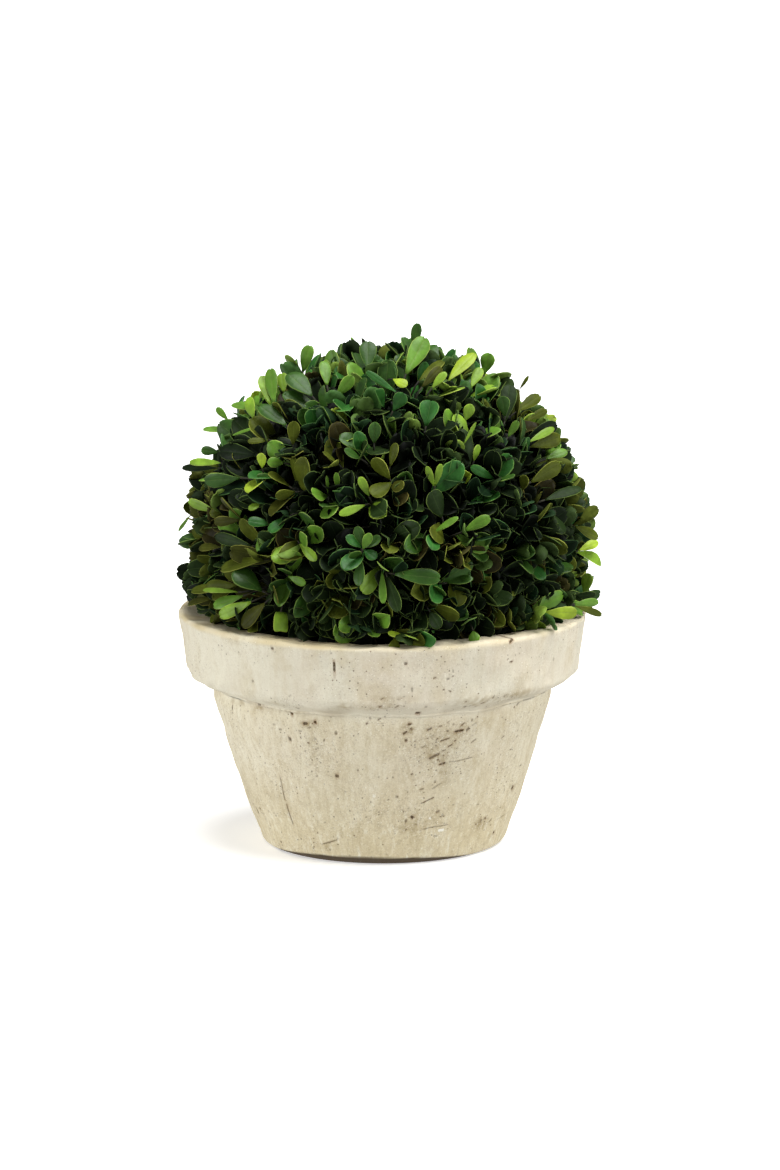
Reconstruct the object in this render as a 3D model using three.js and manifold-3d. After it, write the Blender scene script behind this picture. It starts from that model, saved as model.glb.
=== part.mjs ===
// A clipped box ball growing in a weathered cement pot, in millimetres, +Z up.
// The origin is the centre of the pot's flat underside, and +Z runs up the stem.
import * as THREE from "three";
import { mergeVertices } from "three/addons/utils/BufferGeometryUtils.js";
import Module from "manifold-3d";

const wasm = await Module();
wasm.setup();

// Driving dimensions of the pot
const POT_HEIGHT = 116;
const FOOT_RADIUS = 57.5;
const FOOT_ROUND = 4;
const BODY_TOP_RADIUS = 84.5;
const RIM_DROP = 39;
const RIM_SIDE_DROP = 27;
const RIM_STEP_ROUND = 4;
const RIM_FOOT_RADIUS = 97.5;
const RIM_RADIUS = 101;
const LIP_WIDTH = 16;
const LIP_ROUND = 4;
const INNER_FLOOR_RADIUS = 50;
const FLOOR_THICKNESS = 12;
const POT_SIDES = 56;

// Driving dimensions of the fill and the stem
const MIX_BELOW_LIP = 25;
const MIX_SIDES = 28;
const GAP = 0.3;
const STEM_RADIUS = 6.5;
const STEM_TIP_RADIUS = 4.8;
const FLARE_RADIUS = 12;
const FLARE_HEIGHT = 9;
const STEM_LENGTH = 56;
const STEM_LEAN = 3.5;
const STEM_SIDES = 12;
const STEM_RINGS = 8;

// Driving dimensions of the crown: the clipped ball, and the plain core inside it
const CROWN_RADIUS = 103;
const CROWN_UNEVEN = 5;
const CROWN_ABOVE_LIP = 32;
const CROWN_OFFSET = 3;
const CROWN_OVER_MIX = 4;
const CROWN_OVER_LIP = 1.5;
const CROWN_OFF_WALL = 1.5;
const CORE_RADIUS = 80;
const CORE_BELOW_LIP = 12;
const CORE_WAIST_ANGLE = -14;
const CORE_FOOT_RADIUS = 72;
const CORE_SIDES = 24;
const CORE_RINGS = 9;

// Driving dimensions of the shoots: twigs from roots in the core, with side twigs of their own
const SHOOTS = 118;
const SHOOT_ROOT_RADIUS = 72;
const SHOOT_LEAN = 0.5;
const SMALLEST_SHOOT = 0.4;
const SKIRT_SHOOTS = 36;
const SKIRT_ELEVATION = -18;
const SKIRT_SWAY = 12;
const SKIRT_SLOPE = 6;
const TWIG_RADIUS = 1.8;
const TWIG_TAPER = 0.7;
const SIDE_TWIG = { chance: 0.75, share: 0.4, angle: 48, length: 0.6, scale: 0.85 };

// Driving dimensions of the leaves, and how much each may vary
const LEAF_LENGTH = 27;
const LEAF_WIDTH = 17;
const LEAF_THICKNESS = 1.2;
const LEAF_WIDEST = 0.56;
const LEAF_BLUNTNESS = 0.5;
const LEAF_FOOT = 0.3;
const LEAF_TRIES = 8;
const LEAF_VARY = { turn: 0.7, spread: 18, size: 0.1, shrink: 0.05, tilt: 0.35 };

// Where leaves stand on a twig: the share of its length, their angle to it in degrees, and their size.
const TIP_LEAF = { share: 0.98, spread: 5, size: 0.9, turn: 0, count: 1 };
const TIP_PAIR = { share: 0.95, spread: 36, size: 0.95, turn: 0, count: 2 };
const LOWER_PAIR = { share: 0.68, spread: 66, size: 1, turn: Math.PI / 2, count: 2 };

// The few shoots that stand out of the clipped ball, by their direction in degrees and tip distance.
const LONG_SHOOTS = [
  { azimuth: -10, elevation: 83, reach: 110 },
  { azimuth: 178, elevation: 22, reach: 109 },
  { azimuth: 190, elevation: 4, reach: 107 },
  { azimuth: -12, elevation: -13, reach: 112 },
  { azimuth: 12, elevation: 1, reach: 106 },
  { azimuth: -90, elevation: 12, reach: 106 },
  { azimuth: 90, elevation: 8, reach: 106 },
];

// Colours
const COLOURS = {
  weathered_cement: new THREE.Color(0.8, 0.76, 0.66),
  potting_mix: new THREE.Color(0.09, 0.06, 0.04),
  box_bark: new THREE.Color(0.32, 0.25, 0.17),
  box_leaf: new THREE.Color(0.09, 0.2, 0.06),
};

const lipZ = POT_HEIGHT;
const mixZ = lipZ - MIX_BELOW_LIP;
const crownCentre = new THREE.Vector3(CROWN_OFFSET, 0, lipZ + CROWN_ABOVE_LIP);
const mouthRadius = RIM_RADIUS - LIP_WIDTH;

// Every shoot and leaf varies by this seeded row of numbers between 0 and 1.
function seeded(seed) {
  let state = seed;
  return () => {
    state = (state + 0x6d2b79f5) | 0;
    let t = Math.imul(state ^ (state >>> 15), 1 | state);
    t = (t + Math.imul(t ^ (t >>> 7), 61 | t)) ^ t;
    return ((t ^ (t >>> 14)) >>> 0) / 4294967296;
  };
}

const between = (random, low, high) => low + (high - low) * random();

// A lathe profile of [radius, height] points, turned about Z.
function turned(profile, sides) {
  const points = profile.map(([radius, z]) => new THREE.Vector2(radius, z));
  return new THREE.LatheGeometry(points, sides).rotateX(Math.PI / 2);
}

// The points of a round corner about [radius, height], from one angle to another in degrees.
function corner(radius, z, round, from, to, steps) {
  const points = [];
  for (let i = 0; i <= steps; i++) {
    const angle = THREE.MathUtils.degToRad(from + ((to - from) * i) / steps);
    points.push([radius + round * Math.cos(angle), z + round * Math.sin(angle)]);
  }
  return points;
}

// The radius of the pot's inside wall, which is a plain cone from the floor to the mouth.
function insideRadius(z) {
  const share = (z - FLOOR_THICKNESS) / (lipZ - LIP_ROUND - FLOOR_THICKNESS);
  return THREE.MathUtils.lerp(INNER_FLOOR_RADIUS, mouthRadius, Math.min(1, share));
}

function potGeometry() {
  const profile = [
    [0, 0],
    ...corner(FOOT_RADIUS, FOOT_ROUND, FOOT_ROUND, -90, -15, 3),
    [BODY_TOP_RADIUS, lipZ - RIM_DROP],
    ...corner(RIM_FOOT_RADIUS - RIM_STEP_ROUND, lipZ - RIM_SIDE_DROP, RIM_STEP_ROUND, -60, 0, 2),
    ...corner(RIM_RADIUS - LIP_ROUND, lipZ - LIP_ROUND, LIP_ROUND, 0, 90, 4),
    ...corner(mouthRadius + LIP_ROUND, lipZ - LIP_ROUND, LIP_ROUND, 90, 180, 3),
    [INNER_FLOOR_RADIUS, FLOOR_THICKNESS],
    [0, FLOOR_THICKNESS],
  ];
  return turned(profile, POT_SIDES);
}

// The mix fills the pot to a level below the lip, a gap clear of the wall and floor.
function mixGeometry() {
  const floorZ = FLOOR_THICKNESS + GAP;
  const clear = 2 * GAP;
  const profile = [
    [0, floorZ],
    [insideRadius(floorZ) - clear, floorZ],
    [insideRadius(mixZ) - clear, mixZ],
    [0, mixZ],
  ];
  return turned(profile, MIX_SIDES);
}

// The stem's centre line leans a little more the higher it is.
function stemCentre(share, foot, length) {
  const z = foot + length * share;
  return new THREE.Vector3(STEM_LEAN * share * share, -0.6 * STEM_LEAN * share, z);
}

function stemRadius(height) {
  const flare = Math.max(0, 1 - height / FLARE_HEIGHT) ** 2;
  const taper = THREE.MathUtils.lerp(STEM_RADIUS, STEM_TIP_RADIUS, height / STEM_LENGTH);
  return taper + (FLARE_RADIUS - STEM_RADIUS) * flare;
}

// A closed limb of rings round a centre line, with root ridges where it flares.
function stemGeometry(extra) {
  const foot = mixZ + GAP - extra;
  const length = STEM_LENGTH + extra + (extra > 0 ? GAP : 0);
  const positions = [];
  const index = [];
  for (let ring = 0; ring <= STEM_RINGS; ring++) {
    const share = (ring / STEM_RINGS) ** 1.5;
    const centre = stemCentre(share, foot, length);
    const height = length * share;
    const ridge = 0.16 * Math.max(0, 1 - height / (2 * FLARE_HEIGHT));
    for (let side = 0; side < STEM_SIDES; side++) {
      const angle = (2 * Math.PI * side) / STEM_SIDES;
      const lobe = 1 + ridge * Math.cos(4 * angle + 0.7);
      const radius = (stemRadius(height) + 2 * extra) * lobe;
      positions.push(
        centre.x + radius * Math.cos(angle),
        centre.y + radius * Math.sin(angle),
        centre.z,
      );
    }
  }
  for (let ring = 0; ring < STEM_RINGS; ring++) {
    for (let side = 0; side < STEM_SIDES; side++) {
      const a = ring * STEM_SIDES + side;
      const b = ring * STEM_SIDES + ((side + 1) % STEM_SIDES);
      index.push(a, b, b + STEM_SIDES, a, b + STEM_SIDES, a + STEM_SIDES);
    }
  }
  const top = STEM_RINGS * STEM_SIDES;
  for (let side = 1; side < STEM_SIDES - 1; side++) {
    index.push(0, side + 1, side, top, top + side, top + side + 1);
  }
  return indexed(positions, index);
}

function indexed(positions, index) {
  const geometry = new THREE.BufferGeometry();
  geometry.setAttribute("position", new THREE.Float32BufferAttribute(positions, 3));
  geometry.setIndex(index);
  return geometry;
}

// The clipped crown's inner core: a ball with a flat underside inside the pot's mouth.
function coreGeometry() {
  const below = CROWN_ABOVE_LIP + CORE_BELOW_LIP;
  const start = THREE.MathUtils.degToRad(CORE_WAIST_ANGLE);
  const profile = [
    [0, -below],
    [CORE_FOOT_RADIUS, -below],
  ];
  for (let ring = 0; ring < CORE_RINGS; ring++) {
    const angle = THREE.MathUtils.lerp(start, Math.PI / 2, ring / CORE_RINGS);
    profile.push([CORE_RADIUS * Math.cos(angle), CORE_RADIUS * Math.sin(angle)]);
  }
  profile.push([0, CORE_RADIUS]);
  return turned(profile, CORE_SIDES).translate(crownCentre.x, crownCentre.y, crownCentre.z);
}

// A twig along +Y from its root: a slim three-sided prism that tapers to its cut tip.
function twigGeometry(length, radius) {
  const positions = [];
  for (const [z, size] of [[0, radius], [length, TWIG_TAPER * radius]]) {
    for (const turn of [0, 1, 2]) {
      const angle = (2 * Math.PI * turn) / 3;
      positions.push(size * Math.sin(angle), z, size * Math.cos(angle));
    }
  }
  return indexed(positions, [0, 2, 1, 3, 4, 5, 0, 1, 4, 0, 4, 3, 1, 2, 5, 1, 5, 4, 2, 0, 3, 2, 3, 5]);
}

// A blunt oval leaf along +Y from its foot: a five-cornered blade over one keel point, in eight faces.
function leafGeometry(length, width) {
  const half = width / 2;
  const widest = LEAF_WIDEST * length;
  const blunt = LEAF_BLUNTNESS * half;
  const positions = [
    [0, 0, 0],
    [half, widest, 0],
    [blunt, length, 0],
    [-blunt, length, 0],
    [-half, widest, 0],
    [0, widest, -LEAF_THICKNESS],
  ];
  const index = [0, 1, 4, 1, 2, 4, 2, 3, 4, 1, 0, 5, 2, 1, 5, 3, 2, 5, 4, 3, 5, 0, 4, 5];
  return indexed(positions.flat(), index);
}

// A frame whose Y axis runs along a direction and whose Z axis leans to the upper side.
function frameAt(position, direction, upper) {
  const side = new THREE.Vector3().crossVectors(direction, upper).normalize();
  const normal = new THREE.Vector3().crossVectors(side, direction);
  return new THREE.Matrix4().makeBasis(side, direction, normal).setPosition(position);
}

// The crown keeps to its ball, above the potting mix and clear of the pot's lip and wall.
function inCrown(point, reach) {
  if (point.distanceTo(crownCentre) > reach) return false;
  if (point.z < mixZ + CROWN_OVER_MIX) return false;
  const radius = Math.hypot(point.x, point.y);
  return point.z > lipZ + CROWN_OVER_LIP || radius < insideRadius(point.z) - CROWN_OFF_WALL;
}

// Whether every corner, and the middle of every edge from one corner to the next, is in the crown.
function staysInCrown(geometry, reach) {
  const position = geometry.getAttribute("position");
  const points = [];
  for (let i = 0; i < position.count; i++) {
    points.push(new THREE.Vector3().fromBufferAttribute(position, i));
  }
  return points.every((point, i) => {
    const middle = point.clone().lerp(points[(i + 1) % points.length], 0.5);
    return inCrown(point, reach) && inCrown(middle, reach);
  });
}

// How far the crown's space goes from a point in a direction.
function roomAlong(start, direction, reach) {
  const step = 1;
  let distance = 0;
  while (inCrown(start.clone().addScaledVector(direction, distance + step), reach)) distance += step;
  return distance;
}

function directionOf(azimuth, elevation) {
  const turn = THREE.MathUtils.degToRad(azimuth);
  const up = THREE.MathUtils.degToRad(elevation);
  return new THREE.Vector3(Math.cos(up) * Math.cos(turn), Math.cos(up) * Math.sin(turn), Math.sin(up));
}

// The shoots' directions are even over the ball by the golden angle.
function evenDirection(i, count) {
  const turn = i * Math.PI * (3 - Math.sqrt(5));
  const z = 1 - (2 * (i + 0.5)) / count;
  const flat = Math.sqrt(1 - z * z);
  return new THREE.Vector3(flat * Math.cos(turn), flat * Math.sin(turn), z);
}

// A direction turned away from another by an angle, towards one side of it.
function spreadFrom(along, side, angle) {
  return along.clone().multiplyScalar(Math.cos(angle)).addScaledVector(side, Math.sin(angle)).normalize();
}

// Whether a new piece would run into one that has grown, other than the twig it stands on.
function crosses(piece, grown, own) {
  return grown.some((other) => {
    if (other === own || other.middle.distanceTo(piece.middle) > other.size + piece.size) return false;
    return !other.solid.intersect(piece.solid).isEmpty();
  });
}

// One leaf at a station of its twig. Of a few that the rule allows, the one with the most room is kept.
function growLeaf(grown, twig, foot, along, side, spread, size, reach, random) {
  let best = null;
  for (let i = 0; i < LEAF_TRIES; i++) {
    const turned = side.clone().applyAxisAngle(along, between(random, -LEAF_VARY.turn, LEAF_VARY.turn));
    const angle = THREE.MathUtils.degToRad(spread + between(random, -LEAF_VARY.spread, LEAF_VARY.spread));
    const leafAlong = spreadFrom(along, turned, angle);
    const vary = 1 + between(random, -LEAF_VARY.size, LEAF_VARY.size);
    const scale = size * vary * (1 - LEAF_VARY.shrink * i);
    const length = scale * LEAF_LENGTH;
    const upper = along.clone().addScaledVector(side, between(random, -LEAF_VARY.tilt, LEAF_VARY.tilt));
    const start = foot.clone().addScaledVector(turned, LEAF_FOOT);
    const geometry = leafGeometry(length, scale * LEAF_WIDTH).applyMatrix4(frameAt(start, leafAlong, upper));
    if (!staysInCrown(geometry, reach)) continue;
    const middle = start.addScaledVector(leafAlong, length / 2);
    const leaf = { solid: solidOf(geometry), middle, size: 0.6 * length };
    if (crosses(leaf, grown, twig)) continue;
    leaf.room = Math.min(LEAF_LENGTH, ...grown.map((other) => other.middle.distanceTo(middle)));
    if (!best || leaf.room > best.room) best = leaf;
  }
  if (best) grown.push(best);
}

// A twig with crossed pairs of leaves up to its tip, and now and then a side twig of its own.
function growTwig(grown, parent, root, along, length, scale, reach, stations, random) {
  const roll = 2 * Math.PI * random();
  const cross = new THREE.Vector3(1, 0.3, 0.2).cross(along).normalize().applyAxisAngle(along, roll);
  const geometry = twigGeometry(length, scale * TWIG_RADIUS).applyMatrix4(frameAt(root, along, cross));
  if (!staysInCrown(geometry, reach)) return;
  const middle = root.clone().addScaledVector(along, length / 2);
  const twig = { solid: solidOf(geometry), middle, size: length / 2 + TWIG_RADIUS };
  if (crosses(twig, grown, parent)) return;
  grown.push(twig);
  if (!parent && random() < SIDE_TWIG.chance) {
    const fork = root.clone().addScaledVector(along, SIDE_TWIG.share * length);
    const sideAlong = spreadFrom(along, cross, THREE.MathUtils.degToRad(SIDE_TWIG.angle));
    const sideLength = SIDE_TWIG.length * length;
    growTwig(grown, twig, fork, sideAlong, sideLength, SIDE_TWIG.scale * scale, reach, [TIP_PAIR], random);
  }
  for (const { share, spread, size, turn, count } of stations) {
    const foot = root.clone().addScaledVector(along, share * length);
    for (let i = 0; i < count; i++) {
      const side = cross.clone().applyAxisAngle(along, turn + i * Math.PI);
      growLeaf(grown, twig, foot, along, side, spread, scale * size, reach, random);
    }
  }
}

// One shoot, rooted inside the core, as long as the crown's space allows along it.
function growShoot(grown, direction, along, reach, stations, random) {
  const root = crownCentre.clone().addScaledVector(direction, SHOOT_ROOT_RADIUS);
  const room = roomAlong(root, along, reach);
  const scale = Math.min(1, room / (CROWN_RADIUS - CROWN_UNEVEN - SHOOT_ROOT_RADIUS));
  if (scale < SMALLEST_SHOOT) return;
  const tipSpread = THREE.MathUtils.degToRad(TIP_PAIR.spread);
  const pastTheTwig = scale * TIP_PAIR.size * LEAF_LENGTH * Math.cos(tipSpread);
  growTwig(grown, null, root, along, room - pastTheTwig, scale, reach, stations, random);
}

// A closed geometry as a solid that can be joined or cut.
function solidOf(geometry) {
  const bare = geometry.clone();
  bare.deleteAttribute("normal");
  bare.deleteAttribute("uv");
  const merged = mergeVertices(bare, 1e-3);
  return new wasm.Manifold(
    new wasm.Mesh({
      numProp: 3,
      vertProperties: merged.getAttribute("position").array,
      triVerts: new Uint32Array(merged.index.array),
    }),
  );
}

function geometryOf(solid) {
  const mesh = solid.getMesh();
  return indexed(mesh.vertProperties, Array.from(mesh.triVerts));
}

// The shoots that stand out, then a skirt of level ones over the lip, then even ones all over.
function growCrown(random) {
  const grown = [];
  const fullReach = () => CROWN_RADIUS - between(random, 0, CROWN_UNEVEN);
  for (const { azimuth, elevation, reach } of LONG_SHOOTS) {
    const direction = directionOf(azimuth, elevation);
    growShoot(grown, direction, direction, reach, [TIP_LEAF, TIP_PAIR, LOWER_PAIR], random);
  }
  for (let i = 0; i < SKIRT_SHOOTS; i++) {
    const azimuth = (360 * (i + between(random, -0.2, 0.2))) / SKIRT_SHOOTS;
    const direction = directionOf(azimuth, SKIRT_ELEVATION + between(random, -2, 4));
    const sway = between(random, -SKIRT_SWAY, SKIRT_SWAY);
    const along = directionOf(azimuth + sway, between(random, -SKIRT_SLOPE, SKIRT_SLOPE));
    growShoot(grown, direction, along, fullReach(), [TIP_PAIR, LOWER_PAIR], random);
  }
  for (let i = 0; i < SHOOTS; i++) {
    const direction = evenDirection(i, SHOOTS);
    const lean = new THREE.Vector3(random() - 0.5, random() - 0.5, random() - 0.4);
    const along = direction.clone().addScaledVector(lean, SHOOT_LEAN).normalize();
    growShoot(grown, direction, along, fullReach(), [TIP_PAIR, LOWER_PAIR], random);
  }
  return grown;
}

// The whole crown is one clipped mass: its core, cut clear of the stem, and the shoots out of it.
function crownGeometry() {
  let crown = solidOf(coreGeometry()).subtract(solidOf(stemGeometry(GAP)));
  for (const piece of growCrown(seeded(20614))) {
    crown = crown.add(piece.solid);
  }
  // The largest body is the crown: a loose scrap is dropped, and a sealed hollow's wall with it.
  const bodies = crown.decompose();
  bodies.sort((a, b) => b.volume() - a.volume());
  return geometryOf(bodies[0]);
}

function part(name, geometry, colour, roughness) {
  const material = new THREE.MeshStandardMaterial({ color: colour, roughness, metalness: 0 });
  const mesh = new THREE.Mesh(geometry, material);
  mesh.name = name;
  return mesh;
}

const topiary = new THREE.Group();
topiary.add(part("pot", potGeometry(), COLOURS.weathered_cement, 0.9));
topiary.add(part("potting_mix", mixGeometry(), COLOURS.potting_mix, 1.0));
topiary.add(part("stem", stemGeometry(0), COLOURS.box_bark, 0.85));
topiary.add(part("crown", crownGeometry(), COLOURS.box_leaf, 0.45));

export default topiary;
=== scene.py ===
"""A box bush clipped to a ball in an aged cement pot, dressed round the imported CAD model."""
import math

import bpy
import numpy as np
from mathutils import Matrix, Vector


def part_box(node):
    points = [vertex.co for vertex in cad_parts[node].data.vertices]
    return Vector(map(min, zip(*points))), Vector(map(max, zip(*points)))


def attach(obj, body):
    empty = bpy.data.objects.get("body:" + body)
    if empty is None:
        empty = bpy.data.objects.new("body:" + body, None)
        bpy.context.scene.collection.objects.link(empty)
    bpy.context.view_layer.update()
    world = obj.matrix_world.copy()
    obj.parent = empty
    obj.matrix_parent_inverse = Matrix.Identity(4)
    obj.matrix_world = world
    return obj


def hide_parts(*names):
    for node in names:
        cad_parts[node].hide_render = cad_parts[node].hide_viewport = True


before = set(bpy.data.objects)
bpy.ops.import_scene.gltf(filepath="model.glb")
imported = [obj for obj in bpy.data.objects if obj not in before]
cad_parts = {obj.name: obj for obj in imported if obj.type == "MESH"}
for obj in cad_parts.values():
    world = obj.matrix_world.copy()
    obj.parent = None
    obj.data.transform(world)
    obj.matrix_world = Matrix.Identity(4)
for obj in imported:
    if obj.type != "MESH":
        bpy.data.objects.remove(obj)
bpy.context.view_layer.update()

# Lengths are in millimetres, as in the part's source, until a mesh is made
MM = 0.001
UP = np.array([0.0, 0.0, 1.0])
FULL_TURN = 2 * math.pi
GOLDEN_ANGLE = math.pi * (3 - math.sqrt(5))

# Seeds of what is scattered
POT_SEED = 4
SCRATCH_SEED = 31
MIX_SEED = 11
PLANT_SEED = 20614

# Sizes that the frame gives
POT_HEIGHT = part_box("pot")[1].z / MM
RIM_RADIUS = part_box("pot")[1].x / MM
MIX_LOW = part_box("potting_mix")[0].z / MM
MIX_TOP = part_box("potting_mix")[1].z / MM
STEM_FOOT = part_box("stem")[0].z / MM
STEM_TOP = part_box("stem")[1].z / MM

# The pot's profile, worked out from its height and rim
FOOT_RADIUS = RIM_RADIUS - 43.5
FOOT_ROUND = 4
BODY_TOP_RADIUS = RIM_RADIUS - 16.5
BODY_TOP = POT_HEIGHT - 39
RIM_FOOT_RADIUS = RIM_RADIUS - 3.5
RIM_SIDE_LOW = POT_HEIGHT - 27
LIP_ROUND = 1.6
INNER_LIP_ROUND = 4
MOUTH_RADIUS = RIM_RADIUS - 16
INNER_FLOOR_RADIUS = 50
FLOOR_THICKNESS = 12
POT_SIDES = 424
# How far the sides crowd towards the viewer: 0 is evenly spaced
FRONT_SHARE = 0.5

# The crown
CROWN_CENTRE = np.array([3.0, 0.0, POT_HEIGHT + 32])
CROWN_RADIUS = 103
CROWN_UNEVEN = 7
SHOOT_ROOT_RADIUS = 72
SHOOT_LEAN = 0.42
SHOOT_RISE = 0.22
SHOOTS = 590
LOWEST_SHOOT = -0.36
LEAF_LENGTH = 21
LEAF_WIDTH = 10.4
LEAF_THICKNESS = 0.4
# Shoots longer than the rest: azimuth and elevation in degrees, and how far the tip reaches
LONG_SHOOTS = (
    (-10, 83, 110),
    (178, 22, 109),
    (190, 4, 107),
    (-12, -13, 112),
    (12, 1, 106),
    (-90, 12, 106),
    (90, 8, 106),
)

# The photograph and the camera that fits it
PHOTO_WIDTH = 780
PHOTO_HEIGHT = 1170
FOCAL_PIXELS = 5000
CAMERA_DISTANCE = 2500
CAMERA_TILT = math.radians(12.05)
POT_AXIS_PIXEL = (383.2, 719.1)
AXIS_PIXEL_HEIGHT = 60
SENSOR = 36


def unit(vector):
    return vector / np.linalg.norm(vector)


def srgb(red, green, blue):
    """A colour as seen on a screen, 0 to 255, as the shader's linear colour."""
    linear = []
    for value in (red, green, blue):
        share = value / 255
        linear.append(share / 12.92 if share < 0.04045 else ((share + 0.055) / 1.055) ** 2.4)
    return (*linear, 1.0)


# Camera

class Sight:
    """The camera's place and directions, and the ray through a pixel of the photograph."""

    def __init__(self):
        level = np.array([0.0, math.cos(CAMERA_TILT), -math.sin(CAMERA_TILT)])
        self.place = np.array([0.0, 0.0, AXIS_PIXEL_HEIGHT]) - CAMERA_DISTANCE * level
        right = np.array([1.0, 0.0, 0.0])
        over = np.cross(right, level)
        across = (PHOTO_WIDTH / 2 - POT_AXIS_PIXEL[0]) / FOCAL_PIXELS
        upward = (POT_AXIS_PIXEL[1] - PHOTO_HEIGHT / 2) / FOCAL_PIXELS
        self.forward = unit(level + across * right + upward * over)
        self.right = unit(np.cross(self.forward, UP))
        self.over = np.cross(self.right, self.forward)

    def ray(self, pixel):
        across = (pixel[0] - PHOTO_WIDTH / 2) / FOCAL_PIXELS
        upward = (PHOTO_HEIGHT / 2 - pixel[1]) / FOCAL_PIXELS
        return unit(self.forward + across * self.right + upward * self.over)

    def pixel(self, points):
        """Pixels of the photograph at which points are seen."""
        seen = np.asarray(points) - self.place
        depth = seen @ self.forward
        across = PHOTO_WIDTH / 2 + FOCAL_PIXELS * (seen @ self.right) / depth
        down = PHOTO_HEIGHT / 2 - FOCAL_PIXELS * (seen @ self.over) / depth
        return np.stack([across, down], axis=-1)

    def as_far(self, pixel, point):
        """The point seen at a pixel that is as far in front of the camera as another point."""
        ray = self.ray(pixel)
        return self.place + ray * ((point - self.place) @ self.forward) / (ray @ self.forward)

    def on_ball(self, pixel, radius):
        """The near point of a ball round the crown's centre behind a pixel, or the closest to it."""
        ray = self.ray(pixel)
        middle = self.place + ray * ((CROWN_CENTRE - self.place) @ ray)
        spare = radius ** 2 - ((middle - CROWN_CENTRE) ** 2).sum()
        return middle - ray * math.sqrt(max(spare, 0))

    def on_pot(self, pixel):
        """Angle and height of the place on the pot's outside behind a pixel."""
        steps = np.arange(CAMERA_DISTANCE - 130, CAMERA_DISTANCE + 40, 0.1)
        points = self.place + steps[:, None] * self.ray(pixel)
        heights = points[:, 2]
        inside = np.hypot(points[:, 0], points[:, 1]) < pot_side_radius(heights)
        inside &= heights < POT_HEIGHT
        first = points[np.argmax(inside)]
        return math.atan2(first[1], first[0]), first[2]


def add_camera(sight):
    camera = bpy.data.objects.new("camera", bpy.data.cameras.new("camera"))
    bpy.context.scene.collection.objects.link(camera)
    camera.location = Vector(sight.place) * MM
    camera.rotation_mode = "QUATERNION"
    camera.rotation_quaternion = Vector(sight.forward).to_track_quat("-Z", "Y")
    camera.data.sensor_width = SENSOR
    camera.data.lens = FOCAL_PIXELS / PHOTO_HEIGHT * SENSOR
    camera.data.clip_end = 100
    bpy.context.scene.camera = camera


# Meshes

# How many waves add up to the smooth lumps
LUMP_WAVES = 12


class Heap:
    """Points and triangles of one piece, gathered bit by bit."""

    def __init__(self):
        self.points = []
        self.faces = []
        self.kinds = []
        self.count = 0

    def add(self, points, faces, kinds=0):
        self.points.append(points)
        self.faces.append(np.asarray(faces) + self.count)
        self.kinds.append(np.broadcast_to(kinds, len(faces)))
        self.count += len(points)

    def piece(self, name, finishes):
        points = np.concatenate(self.points)
        faces = np.concatenate(self.faces)
        return mesh_piece(name, points, faces, finishes, np.concatenate(self.kinds))


def mesh_piece(name, points, faces, finishes, kinds=None, marks=None):
    """A smooth mesh object from points in millimetres and triangles."""
    mesh = bpy.data.meshes.new(name)
    mesh.vertices.add(len(points))
    mesh.vertices.foreach_set("co", (points * MM).astype(np.float32).ravel())
    mesh.loops.add(faces.size)
    mesh.loops.foreach_set("vertex_index", faces.astype(np.int32).ravel())
    mesh.polygons.add(len(faces))
    mesh.polygons.foreach_set("loop_start", np.arange(0, faces.size, 3, dtype=np.int32))
    mesh.polygons.foreach_set("use_smooth", np.ones(len(faces), dtype=bool))
    if kinds is not None:
        mesh.polygons.foreach_set("material_index", kinds.astype(np.int32))
    for mark, amounts in (marks or {}).items():
        attribute = mesh.attributes.new(mark, "FLOAT", "POINT")
        attribute.data.foreach_set("value", amounts.astype(np.float32))
    for finish in finishes:
        mesh.materials.append(finish)
    mesh.update(calc_edges=True)
    piece = bpy.data.objects.new(name, mesh)
    bpy.context.scene.collection.objects.link(piece)
    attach(piece, "root")
    return piece


def halved(quads):
    """Two triangles for each four-cornered face."""
    quads = np.asarray(quads).reshape(-1, 4)
    return np.concatenate([quads[:, [0, 1, 2]], quads[:, [0, 2, 3]]])


def ring_faces(rings, sides):
    """Faces of a tube of closed rings, each with the same number of points."""
    ring, side = np.meshgrid(np.arange(rings - 1), np.arange(sides), indexing="ij")
    after = (side + 1) % sides
    quads = np.stack([ring * sides + side, ring * sides + after,
                      (ring + 1) * sides + after, (ring + 1) * sides + side], axis=-1)
    return halved(quads)


def end_faces(first, sides, middle, outward):
    """A fan that closes a ring round a middle point."""
    side = np.arange(sides)
    fan = np.stack([first + side, first + (side + 1) % sides, np.full(sides, middle)], axis=-1)
    return fan if outward else fan[:, ::-1]


def closed_faces(rings, sides):
    """Faces of a tube whose ends close on the two points that follow its rings."""
    last = (rings - 1) * sides
    return np.concatenate([
        ring_faces(rings, sides),
        end_faces(0, sides, rings * sides, outward=False),
        end_faces(last, sides, rings * sides + 1, outward=True),
    ])


def turned(profile, angles):
    """Points of a profile of radii and heights turned round the pot's axis, ring by ring."""
    spokes = np.stack([np.cos(angles), np.sin(angles)], axis=1)
    points = np.empty((len(profile), len(angles), 3))
    points[:, :, :2] = profile[:, None, :1] * spokes
    points[:, :, 2] = profile[:, None, 1]
    return points.reshape(-1, 3)


def curve(start, middle, end, count):
    """Points of a smooth bend from start to end, drawn towards the middle."""
    share = np.linspace(0, 1, count)[:, None]
    return start * (1 - share) ** 2 + middle * 2 * share * (1 - share) + end * share ** 2


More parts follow.
